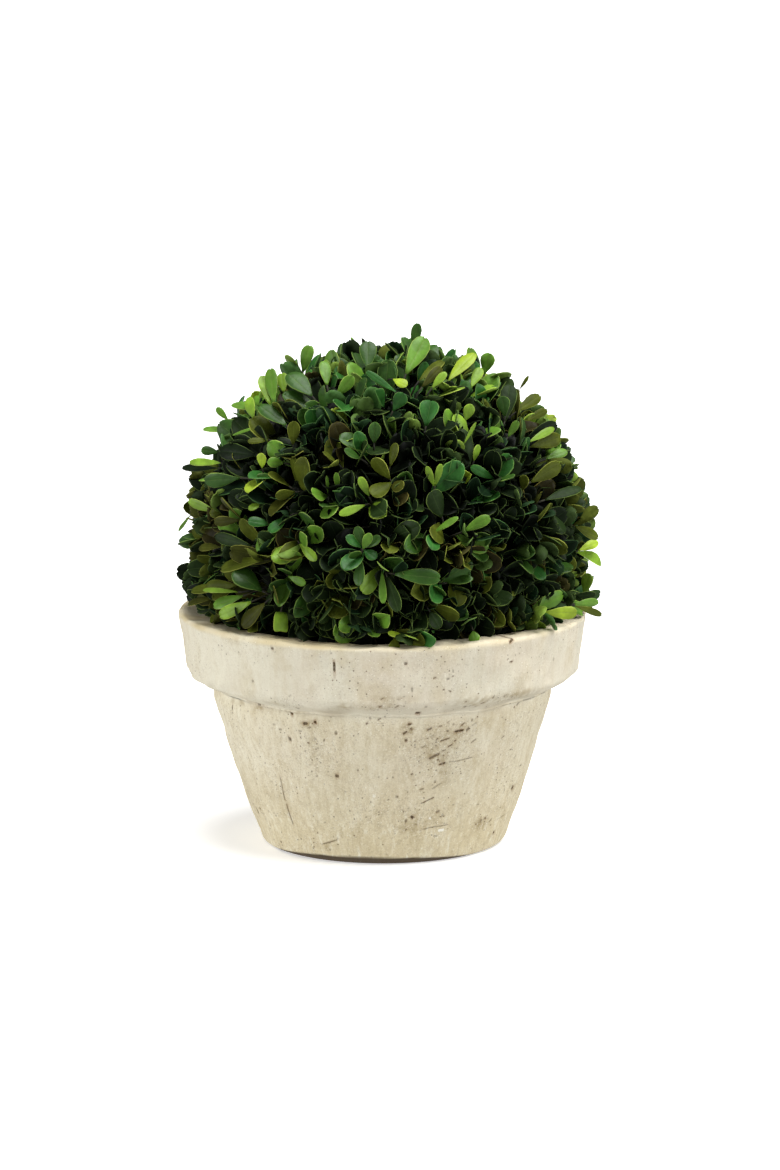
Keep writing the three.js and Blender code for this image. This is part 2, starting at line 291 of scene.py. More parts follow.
def tube(path, radii, sides):
    """A closed round limb along a path."""
    path = np.asarray(path, dtype=float)
    runs = np.gradient(path, axis=0)
    runs /= np.linalg.norm(runs, axis=1)[:, None]
    spare = UP if abs(runs[0] @ UP) < 0.85 else np.array([1.0, 0.0, 0.0])
    across = np.cross(runs, spare)
    across /= np.linalg.norm(across, axis=1)[:, None]
    over = np.cross(runs, across)
    angles = np.arange(sides) * FULL_TURN / sides
    spokes = across[:, None] * np.cos(angles)[:, None] + over[:, None] * np.sin(angles)[:, None]
    points = path[:, None] + spokes * np.asarray(radii)[:, None, None]
    points = np.concatenate([points.reshape(-1, 3), path[:1], path[-1:]])
    return points, closed_faces(len(path), sides)


def lumps(points, size, random):
    """Smooth lumps of about the given size in millimetres, about 1 high."""
    total = np.zeros(len(points))
    for _ in range(LUMP_WAVES):
        wave = unit(random.normal(size=3)) * FULL_TURN / (size * random.uniform(0.7, 1.5))
        total += np.sin(points @ wave + random.uniform(0, FULL_TURN))
    return total / math.sqrt(LUMP_WAVES / 2)


# Materials

class Worth:
    """A shader value that takes part in Python sums."""

    def __init__(self, finish, socket):
        self.finish = finish
        self.socket = socket

    def maths(self, operation, left, right):
        return self.finish.node("ShaderNodeMath", {"operation": operation}, {0: left, 1: right})

    def __add__(self, other):
        return self.maths("ADD", self, other)

    def __sub__(self, other):
        return self.maths("SUBTRACT", self, other)

    def __rsub__(self, other):
        return self.maths("SUBTRACT", other, self)

    def __mul__(self, other):
        return self.maths("MULTIPLY", self, other)

    __radd__ = __add__
    __rmul__ = __mul__

    def ramp(self, low, high):
        """0 below low and 1 above high, or the other way round where low is above high."""
        return self.finish.node(
            "ShaderNodeMapRange", {"interpolation_type": "SMOOTHSTEP"},
            {"Value": self, "From Min": low, "From Max": high, "To Min": 0.0, "To Max": 1.0},
        )


def dimmed(colour, share):
    """A colour at a share of its brightness, or brighter where the share is over 1."""
    return tuple(value * share for value in colour[:3]) + (1.0,)


# The cement's colours, from its clean face to the dirt in its pits
CREAM = srgb(227, 221, 200)
PUTTY = srgb(222, 212, 190)
BODY_CREAM = srgb(230, 218, 184)
PALE_CREAM = srgb(244, 238, 215)
WORN_WHITE = srgb(250, 246, 232)
KHAKI = srgb(218, 202, 158)
DULL_KHAKI = srgb(200, 184, 145)
SCUFF = srgb(163, 145, 115)
# Also the colour of the painted shadow in bands under the rim
TAN_STAIN_AND_SHADOW = srgb(154, 132, 86)
LIP_TAN = srgb(208, 192, 150)
SPECK = srgb(116, 88, 62)
# Also the colour of the painted shadow along the foot's front edge
SOIL_AND_SHADOW = srgb(66, 52, 38)
RUST = srgb(156, 120, 82)
PIT = srgb(80, 62, 36)


class Finish:
    """One procedural material, built up node by node."""

    def __init__(self, name):
        self.material = bpy.data.materials.new(name)
        self.material.use_nodes = True
        self.tree = self.material.node_tree
        self.shader = self.tree.nodes["Principled BSDF"]
        self.place = self.node("ShaderNodeTexCoord", output="Object")

    def node(self, kind, settings=None, sockets=None, output=0):
        made = self.tree.nodes.new(kind)
        for key, value in (settings or {}).items():
            setattr(made, key, value)
        for key, value in (sockets or {}).items():
            self.feed(made.inputs[key], value)
        return Worth(self, made.outputs[output])

    def feed(self, socket, value):
        if isinstance(value, Worth):
            self.tree.links.new(value.socket, socket)
        else:
            socket.default_value = value

    def set(self, **sockets):
        """Feeds the shader's own sockets, such as base_color."""
        for key, value in sockets.items():
            self.feed(self.shader.inputs[key.replace("_", " ").title()], value)

    def mix(self, share, colour, other):
        sockets = {0: share, 6: colour, 7: other}
        return self.node("ShaderNodeMix", {"data_type": "RGBA"}, sockets, output=2)

    def noise(self, size, stretch=1.0, detail=2.0, roughness=0.5):
        """Clouds of about the given size in millimetres, stretched upright where asked."""
        scale = (1.0, 1.0, 1.0 / stretch)
        place = self.node("ShaderNodeMapping", None, {"Vector": self.place, "Scale": scale})
        return self.node(
            "ShaderNodeTexNoise", None,
            {"Vector": place, "Scale": 1 / (size * MM), "Detail": detail, "Roughness": roughness},
        )

    def cells(self, size):
        """Distance from the middle of each of many small cells, and a chance from 0 to 1 for each."""
        sockets = {"Vector": self.place, "Scale": 1 / (size * MM)}
        distance = self.node("ShaderNodeTexVoronoi", None, sockets)
        colour = self.node("ShaderNodeTexVoronoi", None, sockets, output="Color")
        return distance, self.node("ShaderNodeSeparateColor", None, {0: colour})

    def along(self, axis):
        """The X, Y or Z coordinate in millimetres."""
        return self.node("ShaderNodeSeparateXYZ", None, {0: self.place}, output=axis) * (1 / MM)

    def mark(self, name):
        """An amount that the mesh holds at each point."""
        return self.node("ShaderNodeAttribute", {"attribute_name": name}, output="Fac")

    def bump(self, height, depth):
        """A bump of the given depth in millimetres."""
        sockets = {"Height": height, "Distance": depth * MM, "Strength": 1.0}
        self.set(normal=self.node("ShaderNodeBump", None, sockets))


def cement_finish():
    """Aged cream cement: brush streaks, khaki foot, scuffs, specks, stains and dark pits, with painted shadow
    along the foot's front edge and in bands under the rim, and painted light on the ledge under the rim.

    The mesh says where the marks are, and the noises here break them up.
    """
    finish = Finish("weathered_cement")
    height = finish.along("Z")
    across = finish.along("X")
    clouds = finish.noise(30, stretch=1.5, detail=4)
    patches = finish.noise(15, stretch=1.3, detail=4, roughness=0.62)
    streaks = finish.noise(6, stretch=12, detail=4, roughness=0.6)
    brush = finish.noise(2.2, stretch=20, detail=3, roughness=0.6)
    grain = finish.noise(0.9, detail=4, roughness=0.8)
    scuffs = finish.noise(3.2, stretch=1.4, detail=7, roughness=0.85)
    dots, chance = finish.cells(2.0)
    small_dots, small_chance = finish.cells(1.1)
    # From 0 on the rim to 1 on the body
    body = height.ramp(BODY_TOP + 4, BODY_TOP - 3)
    colour = finish.mix(clouds.ramp(0.36, 0.66), CREAM, PUTTY)
    colour = finish.mix(body * 0.5, colour, BODY_CREAM)
    colour = finish.mix(across.ramp(-20, -75) * 0.4, colour, PALE_CREAM)
    colour = finish.mix(height.ramp(60, 4) * 0.6, colour, KHAKI)
    colour = finish.mix(patches.ramp(0.5, 0.68) * 0.35, colour, DULL_KHAKI)
    # The rim is worn smoother than the body, and its brush streaks with it
    wear = 0.55 + body * 0.45
    brushed = 0.35 + body * 0.65
    low_body = height.ramp(50, 5)
    colour = finish.mix(streaks.ramp(0.5, 0.72) * brushed * 0.4, colour, DULL_KHAKI)
    colour = finish.mix(streaks.ramp(0.48, 0.28) * brushed * 0.4, colour, PALE_CREAM)
    colour = finish.mix(brush.ramp(0.45, 0.7) * (0.35 + low_body * 0.25) * brushed, colour, DULL_KHAKI)
    colour = finish.mix(brush.ramp(0.45, 0.28) * (0.25 + low_body * 0.45) * brushed, colour, PALE_CREAM)
    crowded = finish.mark("speckled")
    colour = finish.mix(scuffs.ramp(0.5, 0.68) * (0.25 + crowded * 0.5) * wear, colour, SCUFF)
    colour = finish.mix(scuffs.ramp(0.44, 0.3) * wear * 0.6, colour, WORN_WHITE)
    colour = finish.mix(grain.ramp(0.52, 0.68) * (0.3 + crowded * 0.6) * wear, colour, SCUFF)
    colour = finish.mix(grain.ramp(0.46, 0.32) * (0.5 + crowded * 0.5) * wear, colour, WORN_WHITE)
    # Painted light: the downward-facing ledge under the rim is painted pale
    colour = finish.mix(finish.mark("ledge_painted_light"), colour, PALE_CREAM)
    colour = finish.mix(finish.mark("lip_tan"), colour, LIP_TAN)
    # Tan stains, and painted shadow in bands under the rim
    colour = finish.mix(finish.mark("stain_and_shadow"), colour, TAN_STAIN_AND_SHADOW)
    # More of the cells hold a speck where the pot is crowded with them
    few = 0.97 - body * 0.05 - crowded * 0.55
    shown = (chance - few).ramp(0.0, 0.05)
    small_shown = (small_chance - few).ramp(0.0, 0.05)
    speckled = (dots + grain * 0.5).ramp(0.48, 0.36) * shown * 0.75
    fine_speckled = (small_dots + grain * 0.5).ramp(0.5, 0.36) * small_shown * 0.55
    white_shown = (1 - small_chance - few).ramp(0.0, 0.05)
    white_speckled = (small_dots + grain * 0.5).ramp(0.52, 0.38) * white_shown * 0.9
    colour = finish.mix(speckled, colour, SPECK)
    colour = finish.mix(fine_speckled, colour, SPECK)
    colour = finish.mix(white_speckled, colour, WORN_WHITE)
    # Soil inside the pot and on the lip's inner edge, and a painted shadow along the foot's front edge
    colour = finish.mix(finish.mark("soil_and_shadow"), colour, SOIL_AND_SHADOW)
    along_pit = finish.mark("pit_along")
    across_pit = finish.mark("pit_across")
    dark = finish.mark("pit_dark")
    clear = finish.mark("pit_clear").ramp(0.3, 0.45)
    # The edges of cracks and pits waver, and a rusty halo fades out round them
    wavering = across_pit + (scuffs - 0.5) * 2.6
    length = along_pit * along_pit
    pit_edge = length * length * length + wavering * wavering + (grain - 0.5) * 7
    halo = pit_edge.ramp(16.0, 0.8) * clear * dark.ramp(0.2, 1.2)
    halo = halo * (0.35 + scuffs.ramp(0.45, 0.6) * 0.5)
    pit = pit_edge.ramp(1.7, 0.9) * clear * (0.45 + scuffs.ramp(0.4, 0.52) * 0.55)
    colour = finish.mix(halo, colour, RUST)
    colour = finish.mix(pit * dark.ramp(0.0, 1.15), colour, PIT)
    colour = finish.mix(pit * dark.ramp(0.0, -0.9), colour, WORN_WHITE)
    finish.set(base_color=colour, roughness=0.8 + grain * 0.15)
    finish.shader.inputs["Specular IOR Level"].default_value = 0.3
    relief = grain * 0.4 + brush * 0.25 + scuffs * 0.6 - speckled * 0.5 - fine_speckled * 0.3
    finish.bump(relief - pit * dark.ramp(0.0, 1.0) * 0.9 + white_speckled * 0.3, 0.6)
    return finish.material


def mix_finish():
    """Dark loose bark and fibre."""
    finish = Finish("potting_mix")
    clumps = finish.noise(4, detail=4, roughness=0.7)
    fibres = finish.noise(1.4, detail=3)
    colour = finish.mix(clumps.ramp(0.35, 0.7), srgb(38, 29, 22), srgb(84, 64, 46))
    colour = finish.mix(fibres.ramp(0.62, 0.72) * 0.6, colour, srgb(134, 108, 78))
    finish.set(base_color=colour, roughness=0.95 - fibres * 0.1)
    finish.bump(clumps + fibres * 0.5, 0.8)
    return finish.material


def bark_finish(name, dark, light):
    """Finely fissured bark, streaked along the limb."""
    finish = Finish(name)
    fissures = finish.noise(1.6, stretch=5, detail=4, roughness=0.6)
    lichen = finish.noise(9, detail=3)
    colour = finish.mix(fissures.ramp(0.38, 0.62), dark, light)
    colour = finish.mix(lichen.ramp(0.6, 0.72) * 0.4, colour, dimmed(light, 1.5))
    finish.set(base_color=colour, roughness=0.85 - lichen * 0.1)
    finish.bump(fissures, 0.4)
    return finish.material


def leaf_finish(name, colour, roughness, sheen):
    """A satin leaf with a mottling of its own colour, and some sprays a little darker than others."""
    finish = Finish(name)
    mottle = finish.noise(5, detail=3, roughness=0.6)
    sprays = finish.noise(16, detail=1)
    deeper = dimmed(colour, 0.7)
    darker = dimmed(colour, 0.5)
    colour = finish.mix(mottle.ramp(0.35, 0.65), colour, deeper)
    colour = finish.mix(sprays.ramp(0.46, 0.62) * 0.6, colour, darker)
    finish.set(base_color=colour, roughness=roughness + mottle * 0.12)
    finish.shader.inputs["Specular IOR Level"].default_value = sheen
    finish.bump(finish.noise(1.6, detail=2), 0.12)
    return finish.material


# How deep in the ball a leaf's middle is, in millimetres, where it is painted a darker colour for half shade
# and where it is painted in the shade colour
HALF_SHADE_DEPTH = 13.5
SHADE_DEPTH = 17.5
# How much deeper that is, by height over the ball's middle, and how much less deep at its front, so that more
# leaves at the front are painted in shade
COLOUR_DEPTH = ((-40, 6.5), (5, 5.5), (18, 0.5), (58, 0), (74, 3.5), (100, 6.5))
FRONT_SHADE_DEPTH = 4
# Leaf colours: upper face, margin, underside. The shade colour is painted shade on the leaves deepest in the
# ball
LEAF_COLOURS = {
    "shade": ((8, 13, 6), (32, 42, 20), (14, 20, 9)),
    "deep": ((22, 33, 17), (84, 104, 52), (37, 50, 27)),
    "pine": ((22, 42, 23), (76, 112, 60), (36, 60, 34)),
    "umber": ((46, 43, 18), (104, 98, 46), (60, 58, 28)),
    "moss": ((38, 55, 25), (110, 132, 64), (54, 72, 36)),
    "mid": ((54, 90, 29), (120, 150, 66), (74, 102, 42)),
    "emerald": ((50, 105, 40), (116, 162, 76), (70, 112, 49)),
    "olive": ((80, 90, 26), (146, 154, 66), (92, 103, 38)),
    "brown": ((64, 68, 21), (124, 126, 56), (78, 84, 33)),
    "sage": ((98, 142, 44), (162, 190, 86), (108, 136, 54)),
    "fresh": ((130, 168, 50), (184, 208, 84), (124, 154, 54)),
    "bright": ((168, 196, 52), (208, 224, 94), (152, 176, 62)),
}
# Leaves that hardly gleam, and how much they and the others do
DULL_LEAVES = ("shade", "deep", "pine", "umber", "moss", "brown", "olive")
DULL_SHEEN = 0.06
LEAF_SHEEN = 0.22
# The darker colour painted on a leaf for half shade deep in the ball, by its spray's colour: "deep" where
# none is told
HALF_SHADE_COLOURS = {
    "brown": "umber", "olive": "umber", "mid": "pine", "emerald": "pine",
    "sage": "moss", "fresh": "moss",
}
# The colours in line: a leaf may take the one before or after its spray's
LEAF_ORDER = ("umber", "brown", "olive", "moss", "deep", "pine", "mid", "emerald", "sage", "fresh", "bright")
# The inner leaves' colour, near-black as painted shade
INNER_SHADE_COLOUR = (8, 13, 5)


# Pot

def arc(radius, height, bend, start, end, steps):
    """Points of a rounded edge, angles in degrees from outward to up."""
    angles = np.radians(np.linspace(start, end, steps + 1))
    return [(radius + bend * math.cos(a), height + bend * math.sin(a)) for a in angles]


def pot_outer_profile():
    """Radius and height from the foot's edge over the rim to the lip's inner edge."""
    lip_level = POT_HEIGHT - LIP_ROUND
    inner_level = POT_HEIGHT - INNER_LIP_ROUND
    nose = (BODY_TOP_RADIUS + 1.2, BODY_TOP + 3)
    return [
        *arc(FOOT_RADIUS, FOOT_ROUND, FOOT_ROUND, -90, -15, 5),
        (BODY_TOP_RADIUS - 0.3, BODY_TOP + 1.4),
        *arc(*nose, 0.8, -70, 30, 3),
        *arc(RIM_FOOT_RADIUS - 6, RIM_SIDE_LOW + 1, 6, -58, 0, 6),
        *arc(RIM_RADIUS - LIP_ROUND, lip_level, LIP_ROUND, 0, 90, 6),
        *arc(MOUTH_RADIUS + INNER_LIP_ROUND, inner_level, INNER_LIP_ROUND, 90, 180, 6),
    ]


OUTER_PROFILE = np.array(pot_outer_profile())
SIDE_PROFILE = OUTER_PROFILE[:OUTER_PROFILE[:, 1].argmax() + 1]


def pot_side_radius(heights):
    return np.interp(heights, SIDE_PROFILE[:, 1], SIDE_PROFILE[:, 0], left=0)


def refined(profile, spacing):
    """The profile with more points between those that are further apart than the spacing."""
    profile = np.asarray(profile, dtype=float)
    points = [profile[:1]]
    for start, end in zip(profile[:-1], profile[1:]):
        steps = max(1, math.ceil(np.linalg.norm(end - start) / spacing))
        shares = np.arange(1, steps + 1)[:, None] / steps
        points.append(start + (end - start) * shares)
    return np.concatenate(points)


# Pits of the pot: the pixel of each in the photograph, its size in millimetres and how dark it is.
# A worn white spot is a pit with a negative darkness
PITS = {
    "upright pit under the lip": dict(at=(334, 667), wide=1.1, tall=3.6, dark=1.0),
    "left rim pit by the lip": dict(at=(273, 648), wide=1.4, tall=0.9, dark=0.7),
    "left rim round pit": dict(at=(253, 681), wide=1.2, tall=0.8, dark=0.5),
    "left rim small pit": dict(at=(331, 653), wide=1.0, tall=0.6, dark=0.5),
    "rim pit in the middle": dict(at=(406, 664), wide=1.5, tall=1.0, dark=0.7),
    "rim pit right of the middle": dict(at=(448, 679), wide=1.4, tall=0.8, dark=0.5),
    "rim pit above it": dict(at=(453, 671), wide=0.8, tall=1.2, dark=0.4),
    "low rim pit": dict(at=(412, 690), wide=1.1, tall=1.8, dark=0.5),
    "right rim pit": dict(at=(553, 659), wide=1.0, tall=1.4, dark=0.4),
    "first pit under the rim": dict(at=(292, 713), wide=1.3, tall=1.2, dark=0.9),
    "second pit under the rim": dict(at=(259, 705), wide=1.6, tall=1.0, dark=0.7),
    "third pit under the rim": dict(at=(234, 707), wide=0.9, tall=1.9, dark=0.7),
    "dash on the nose": dict(at=(418, 713), wide=2.2, tall=0.9, dark=1.0),
    "tan dot over the nose": dict(at=(426, 707), wide=1.3, tall=0.8, dark=0.45),
    "first dot of the chain": dict(at=(398, 700), wide=1.2, tall=0.6, dark=0.45),
    "second dot of the chain": dict(at=(404, 697), wide=1.0, tall=0.5, dark=0.4),
    "brown dot over the nose": dict(at=(465, 707), wide=1.4, tall=0.8, dark=0.6),
    "brown dot beside it": dict(at=(475, 706), wide=1.2, tall=0.6, dark=0.45),
    "left dot in the band": dict(at=(504, 696), wide=1.0, tall=0.8, dark=0.5),
    "right dot in the band": dict(at=(512, 697), wide=1.1, tall=0.8, dark=0.5),
    "dot under the nose": dict(at=(370, 719), wide=0.9, tall=0.7, dark=0.45),
    "second dot under the nose": dict(at=(385, 717), wide=0.8, tall=0.9, dark=0.5),
    "left body pit": dict(at=(290, 739), wide=1.5, tall=1.6, dark=0.75),
    "white spot beside it": dict(at=(294, 740), wide=1.0, tall=1.2, dark=-1.0),
    "left body stroke": dict(at=(281, 729), wide=1.6, tall=0.7, dark=0.5),
    "left body upper stroke": dict(at=(275, 724), wide=1.6, tall=0.7, dark=0.4),
    "pit left of the middle": dict(at=(336, 733), wide=1.3, tall=1.1, dark=0.6),
    "brown cluster's end": dict(at=(315, 722), wide=1.3, tall=1.0, dark=1.0),
    "brown cluster's middle": dict(at=(306, 723), wide=2.2, tall=1.1, dark=0.85),
    "brown cluster's foot": dict(at=(310, 727), wide=1.6, tall=0.6, dark=0.5),
    "dot under the hook": dict(at=(406, 740), wide=1.3, tall=0.9, dark=0.8),
    "dot right of it": dict(at=(415, 745), wide=0.9, tall=0.8, dark=0.5),
    "upright brown stroke": dict(at=(477, 716), wide=0.8, tall=1.6, dark=0.5),
    "brown stroke below it": dict(at=(472, 720), wide=0.8, tall=1.3, dark=0.5),
    "tan dot at the right": dict(at=(517, 730), wide=0.9, tall=1.0, dark=0.4),
    "far left dot": dict(at=(337, 776), wide=1.6, tall=1.2, dark=0.8),
    "small dot in the middle": dict(at=(358, 770), wide=0.9, tall=0.8, dark=0.5),
    "low small dot": dict(at=(393, 778), wide=0.9, tall=0.9, dark=0.5),
    "dot over the strokes": dict(at=(435, 782), wide=1.0, tall=0.9, dark=0.5),
    "white spot left of the crack": dict(at=(374, 796), wide=1.5, tall=1.3, dark=-1.0),
    "dot left of the crack": dict(at=(397, 797), wide=1.3, tall=0.9, dark=0.6),
    "white spot at the crack's end": dict(at=(438, 796), wide=1.5, tall=1.2, dark=-1.0),
    "crack's lower dot": dict(at=(412, 817), wide=1.6, tall=1.0, dark=1.0, tilt=-40),
    "crack's lowest dot": dict(at=(406, 821), wide=1.0, tall=1.3, dark=0.65),
    "white spot beside it": dict(at=(430, 818), wide=1.3, tall=1.1, dark=-1.0),
    "low dot": dict(at=(438, 812), wide=1.8, tall=0.8, dark=0.75, tilt=30),
    "right edge pit": dict(at=(511, 787), wide=1.7, tall=1.2, dark=0.9, tilt=20),
    "right foot pit": dict(at=(493, 832), wide=1.3, tall=0.9, dark=0.9),
    "right foot cluster's left": dict(at=(476, 824), wide=1.5, tall=1.0, dark=0.8),
    "right foot cluster's middle": dict(at=(481, 821), wide=0.7, tall=2.2, dark=0.6, tilt=20),
    "right foot cluster's right": dict(at=(485, 818), wide=1.6, tall=0.8, dark=0.6),
    "left edge mark": dict(at=(259, 810), wide=1.0, tall=2.8, dark=0.6),
    "stroke near the left edge": dict(at=(264, 800), wide=1.5, tall=0.6, dark=0.5, tilt=-35),
    "speck by the foot": dict(at=(281, 842), wide=1.4, tall=0.6, dark=0.7),
    "white wear on the foot": dict(at=(441, 830), wide=3.2, tall=1.4, dark=-0.8),
}
# Cracks and scratches: the pixels of their ends, width in millimetres and how dark they are
CRACKS = {
    "lip crack": dict(start=(502, 637), end=(509, 643), wide=0.7, dark=0.9),
    "rim hook": dict(start=(511, 656), end=(507, 660), wide=0.7, dark=0.8),
    "rim hook's foot": dict(start=(508, 662), end=(512, 661), wide=0.6, dark=0.7),
    "hook's head": dict(start=(408, 724), end=(414, 725), wide=0.9, dark=0.8),
    "hook's bend": dict(start=(414, 726), end=(409, 730), wide=0.7, dark=0.6),
    "hook's foot": dict(start=(403, 734), end=(408, 731), wide=0.9, dark=0.8),
    "short dash": dict(start=(427, 730), end=(432, 728), wide=0.8, dark=0.7),
    "long dash": dict(start=(455, 732), end=(464, 730), wide=0.8, dark=1.0),
    "long dash's end": dict(start=(466, 731), end=(470, 727), wide=0.9, dark=0.6),
    "faint stroke after it": dict(start=(471, 726), end=(477, 722), wide=0.6, dark=0.45),
    "thin dash": dict(start=(441, 741), end=(450, 738), wide=0.6, dark=0.65),
    "small right dash": dict(start=(471, 743), end=(476, 739), wide=0.6, dark=0.5),
    "slanted dash": dict(start=(429, 759), end=(439, 754), wide=0.9, dark=0.7),
    "lower dash": dict(start=(440, 765), end=(447, 763), wide=0.8, dark=0.9),
    "lower dash's tail": dict(start=(448, 763), end=(472, 757), wide=0.4, dark=0.5),
    "strokes over the crack": dict(start=(432, 789), end=(441, 784), wide=0.6, dark=0.45),
    "slanted crack": dict(start=(420, 804), end=(437, 796), wide=0.5, dark=0.65),
    "long crack's head": dict(start=(281, 777), end=(286, 799), wide=0.45, dark=0.65),
    "long crack's foot": dict(start=(288, 804), end=(293, 824), wide=0.5, dark=0.65),
    "foot dash": dict(start=(323, 844), end=(337, 840), wide=0.5, dark=0.6),
    "faint foot crack": dict(start=(423, 829), end=(447, 825), wide=0.4, dark=0.55),
    "faint crack, right": dict(start=(496, 820), end=(507, 811), wide=0.5, dark=0.35),
}
# Stains, and painted shadows in bands under the rim, by their place in the photograph, with sizes in
# millimetres and a strength
STAINS_AND_SHADOWS = {
    "upright brown run": dict(at=(447, 779), wide=2.6, tall=6.5, strength=0.4),
    "brown blotch": dict(at=(432, 757), wide=4.6, tall=2.4, strength=0.45),
    "reddish ring": dict(at=(427, 746), wide=2.4, tall=2.4, strength=0.35),
    "olive patch": dict(at=(343, 708), wide=5.5, tall=3.0, strength=0.35),
    "speckled patch": dict(at=(385, 708), wide=9.0, tall=2.2, strength=0.35),
    "stain and painted shadow under the rim at the right": dict(at=(518, 695), wide=16.0, tall=3.4, strength=0.45),
    "painted shadow under the rim at the left": dict(at=(290, 712), wide=14.0, tall=2.2, strength=0.4),
    "painted shadow's middle at the left": dict(at=(261, 708), wide=9.0, tall=2.2, strength=0.5),
    "painted shadow's end at the left": dict(at=(237, 702), wide=8.0, tall=1.8, strength=0.45),
    "brown cluster's halo": dict(at=(310, 724), wide=5.0, tall=1.8, strength=0.5),
    "halo round the hook": dict(at=(410, 728), wide=3.6, tall=3.5, strength=0.3),
    "halo round the long dash": dict(at=(464, 729), wide=5.6, tall=2.0, strength=0.3),
    "long crack's halo": dict(at=(287, 800), wide=1.4, tall=11.0, strength=0.2),
    "right foot halo": dict(at=(482, 824), wide=5.5, tall=3.0, strength=0.45),
    "right foot's smaller halo": dict(at=(490, 834), wide=3.0, tall=1.5, strength=0.35),
    "halo of the right edge pit": dict(at=(511, 789), wide=2.0, tall=3.0, strength=0.3),
    "foot dash's patch": dict(at=(326, 848), wide=2.6, tall=1.8, strength=0.45),
    "left edge stain": dict(at=(252, 795), wide=6.0, tall=18.0, strength=0.3),
    "middle smudge": dict(at=(440, 742), wide=15.0, tall=9.0, strength=0.2),
    "tan run in the middle": dict(at=(444, 762), wide=4.0, tall=12.0, strength=0.3),
    "tan patch under the ledge": dict(at=(456, 733), wide=9.0, tall=3.0, strength=0.3),
    "tan patch in the middle": dict(at=(410, 770), wide=8.0, tall=8.0, strength=0.15),
    "tan patch on the foot": dict(at=(412, 822), wide=9.0, tall=6.0, strength=0.25),
    "rust of the right foot": dict(at=(478, 822), wide=3.0, tall=2.0, strength=0.4),
    "tan streak on the rim's foot": dict(at=(480, 701), wide=15.0, tall=3.4, strength=0.4),
    "tan patch on the rim's foot": dict(at=(395, 700), wide=12.0, tall=2.4, strength=0.3),
    "run under the rim, left": dict(at=(312, 740), wide=3.0, tall=9.0, strength=0.2),
}
# Patches crowded with specks, sizes in millimetres
SPECKLED = {
    "over the nose": dict(at=(386, 706), wide=14.0, tall=5.0, strength=0.9),
    "right of the middle": dict(at=(440, 745), wide=20.0, tall=17.0, strength=0.8),
    "round the long dash": dict(at=(464, 729), wide=9.0, tall=5.0, strength=0.9),
    "under the nose": dict(at=(376, 720), wide=10.0, tall=4.0, strength=0.8),
    "left of the middle": dict(at=(318, 750), wide=13.0, tall=13.0, strength=0.6),
    "brown cluster": dict(at=(311, 724), wide=6.0, tall=2.5, strength=1.0),
    "left rim": dict(at=(290, 702), wide=9.0, tall=4.0, strength=0.8),
    "middle of the rim": dict(at=(450, 682), wide=10.0, tall=8.0, strength=0.6),
    "under the rim at the right": dict(at=(505, 699), wide=12.0, tall=5.0, strength=0.8),
    "right foot": dict(at=(482, 822), wide=6.0, tall=4.5, strength=1.0),
    "middle of the foot": dict(at=(420, 820), wide=18.0, tall=12.0, strength=0.6),
    "left foot": dict(at=(262, 808), wide=5.0, tall=9.0, strength=0.6),
    "hook": dict(at=(409, 729), wide=5.0, tall=4.0, strength=0.9),
    "right side": dict(at=(505, 765), wide=10.0, tall=16.0, strength=0.45),
}
SEEDED_PITS = 150
# Fine scratches to a square millimetre of a crowded patch, and the room that each needs
SCRATCHES = 0.1
SCRATCH_ROOM = 2.2
# How far the pot's left and right sides swell out past a true round, by height, in millimetres
LEFT_SWELL = (
    (6, 0), (13, 0.5), (24, 1.9), (74, 2.2), (79, -0.8),
    (83, -0.2), (88, 1.4), (96, 1.3), (105, 0.5), (116, 0.8),
)
RIGHT_SWELL = ((8, 0), (16, 0.8), (74, 0.8), (79, -1.4), (83, -1.2), (88, 0.4), (116, 0.4))
# Chips out of the rim's lower edge, sizes in millimetres
CHIPS = {
    "at the left edge": dict(at=(192, 664), wide=2.2, tall=1.7, deep=1.7),
    "right of it": dict(at=(203, 679), wide=2.6, tall=1.3, deep=1.5),
    "below it": dict(at=(214, 686), wide=2.6, tall=1.4, deep=0.9),
    "at the left of the nose": dict(at=(240, 699), wide=3.2, tall=1.4, deep=0.4),
    "at the right of the nose": dict(at=(545, 688), wide=3.0, tall=1.4, deep=0.4),
}
# The direction in degrees that the painted shadow along the foot's front edge faces, and its height in
# millimetres there
FOOT_SHADOW_ANGLE = -98
FOOT_SHADOW_HEIGHT = 3.4


def around(points, at):
    """How far points lie round the pot and up from a place, in millimetres."""
    angle, height = at
    turn = np.arctan2(points[:, 1], points[:, 0]) - angle
    turn = (turn + math.pi) % FULL_TURN - math.pi
    return turn * np.hypot(points[:, 0], points[:, 1]), points[:, 2] - height


def marked(points, at, wide, tall):
    """How much each point of the pot lies in a mark: 1 at its middle, 0 well outside it."""
    round_it, rise = around(points, at)
    return np.exp(-((round_it / wide) ** 2 + (rise / tall) ** 2) ** 1.5)


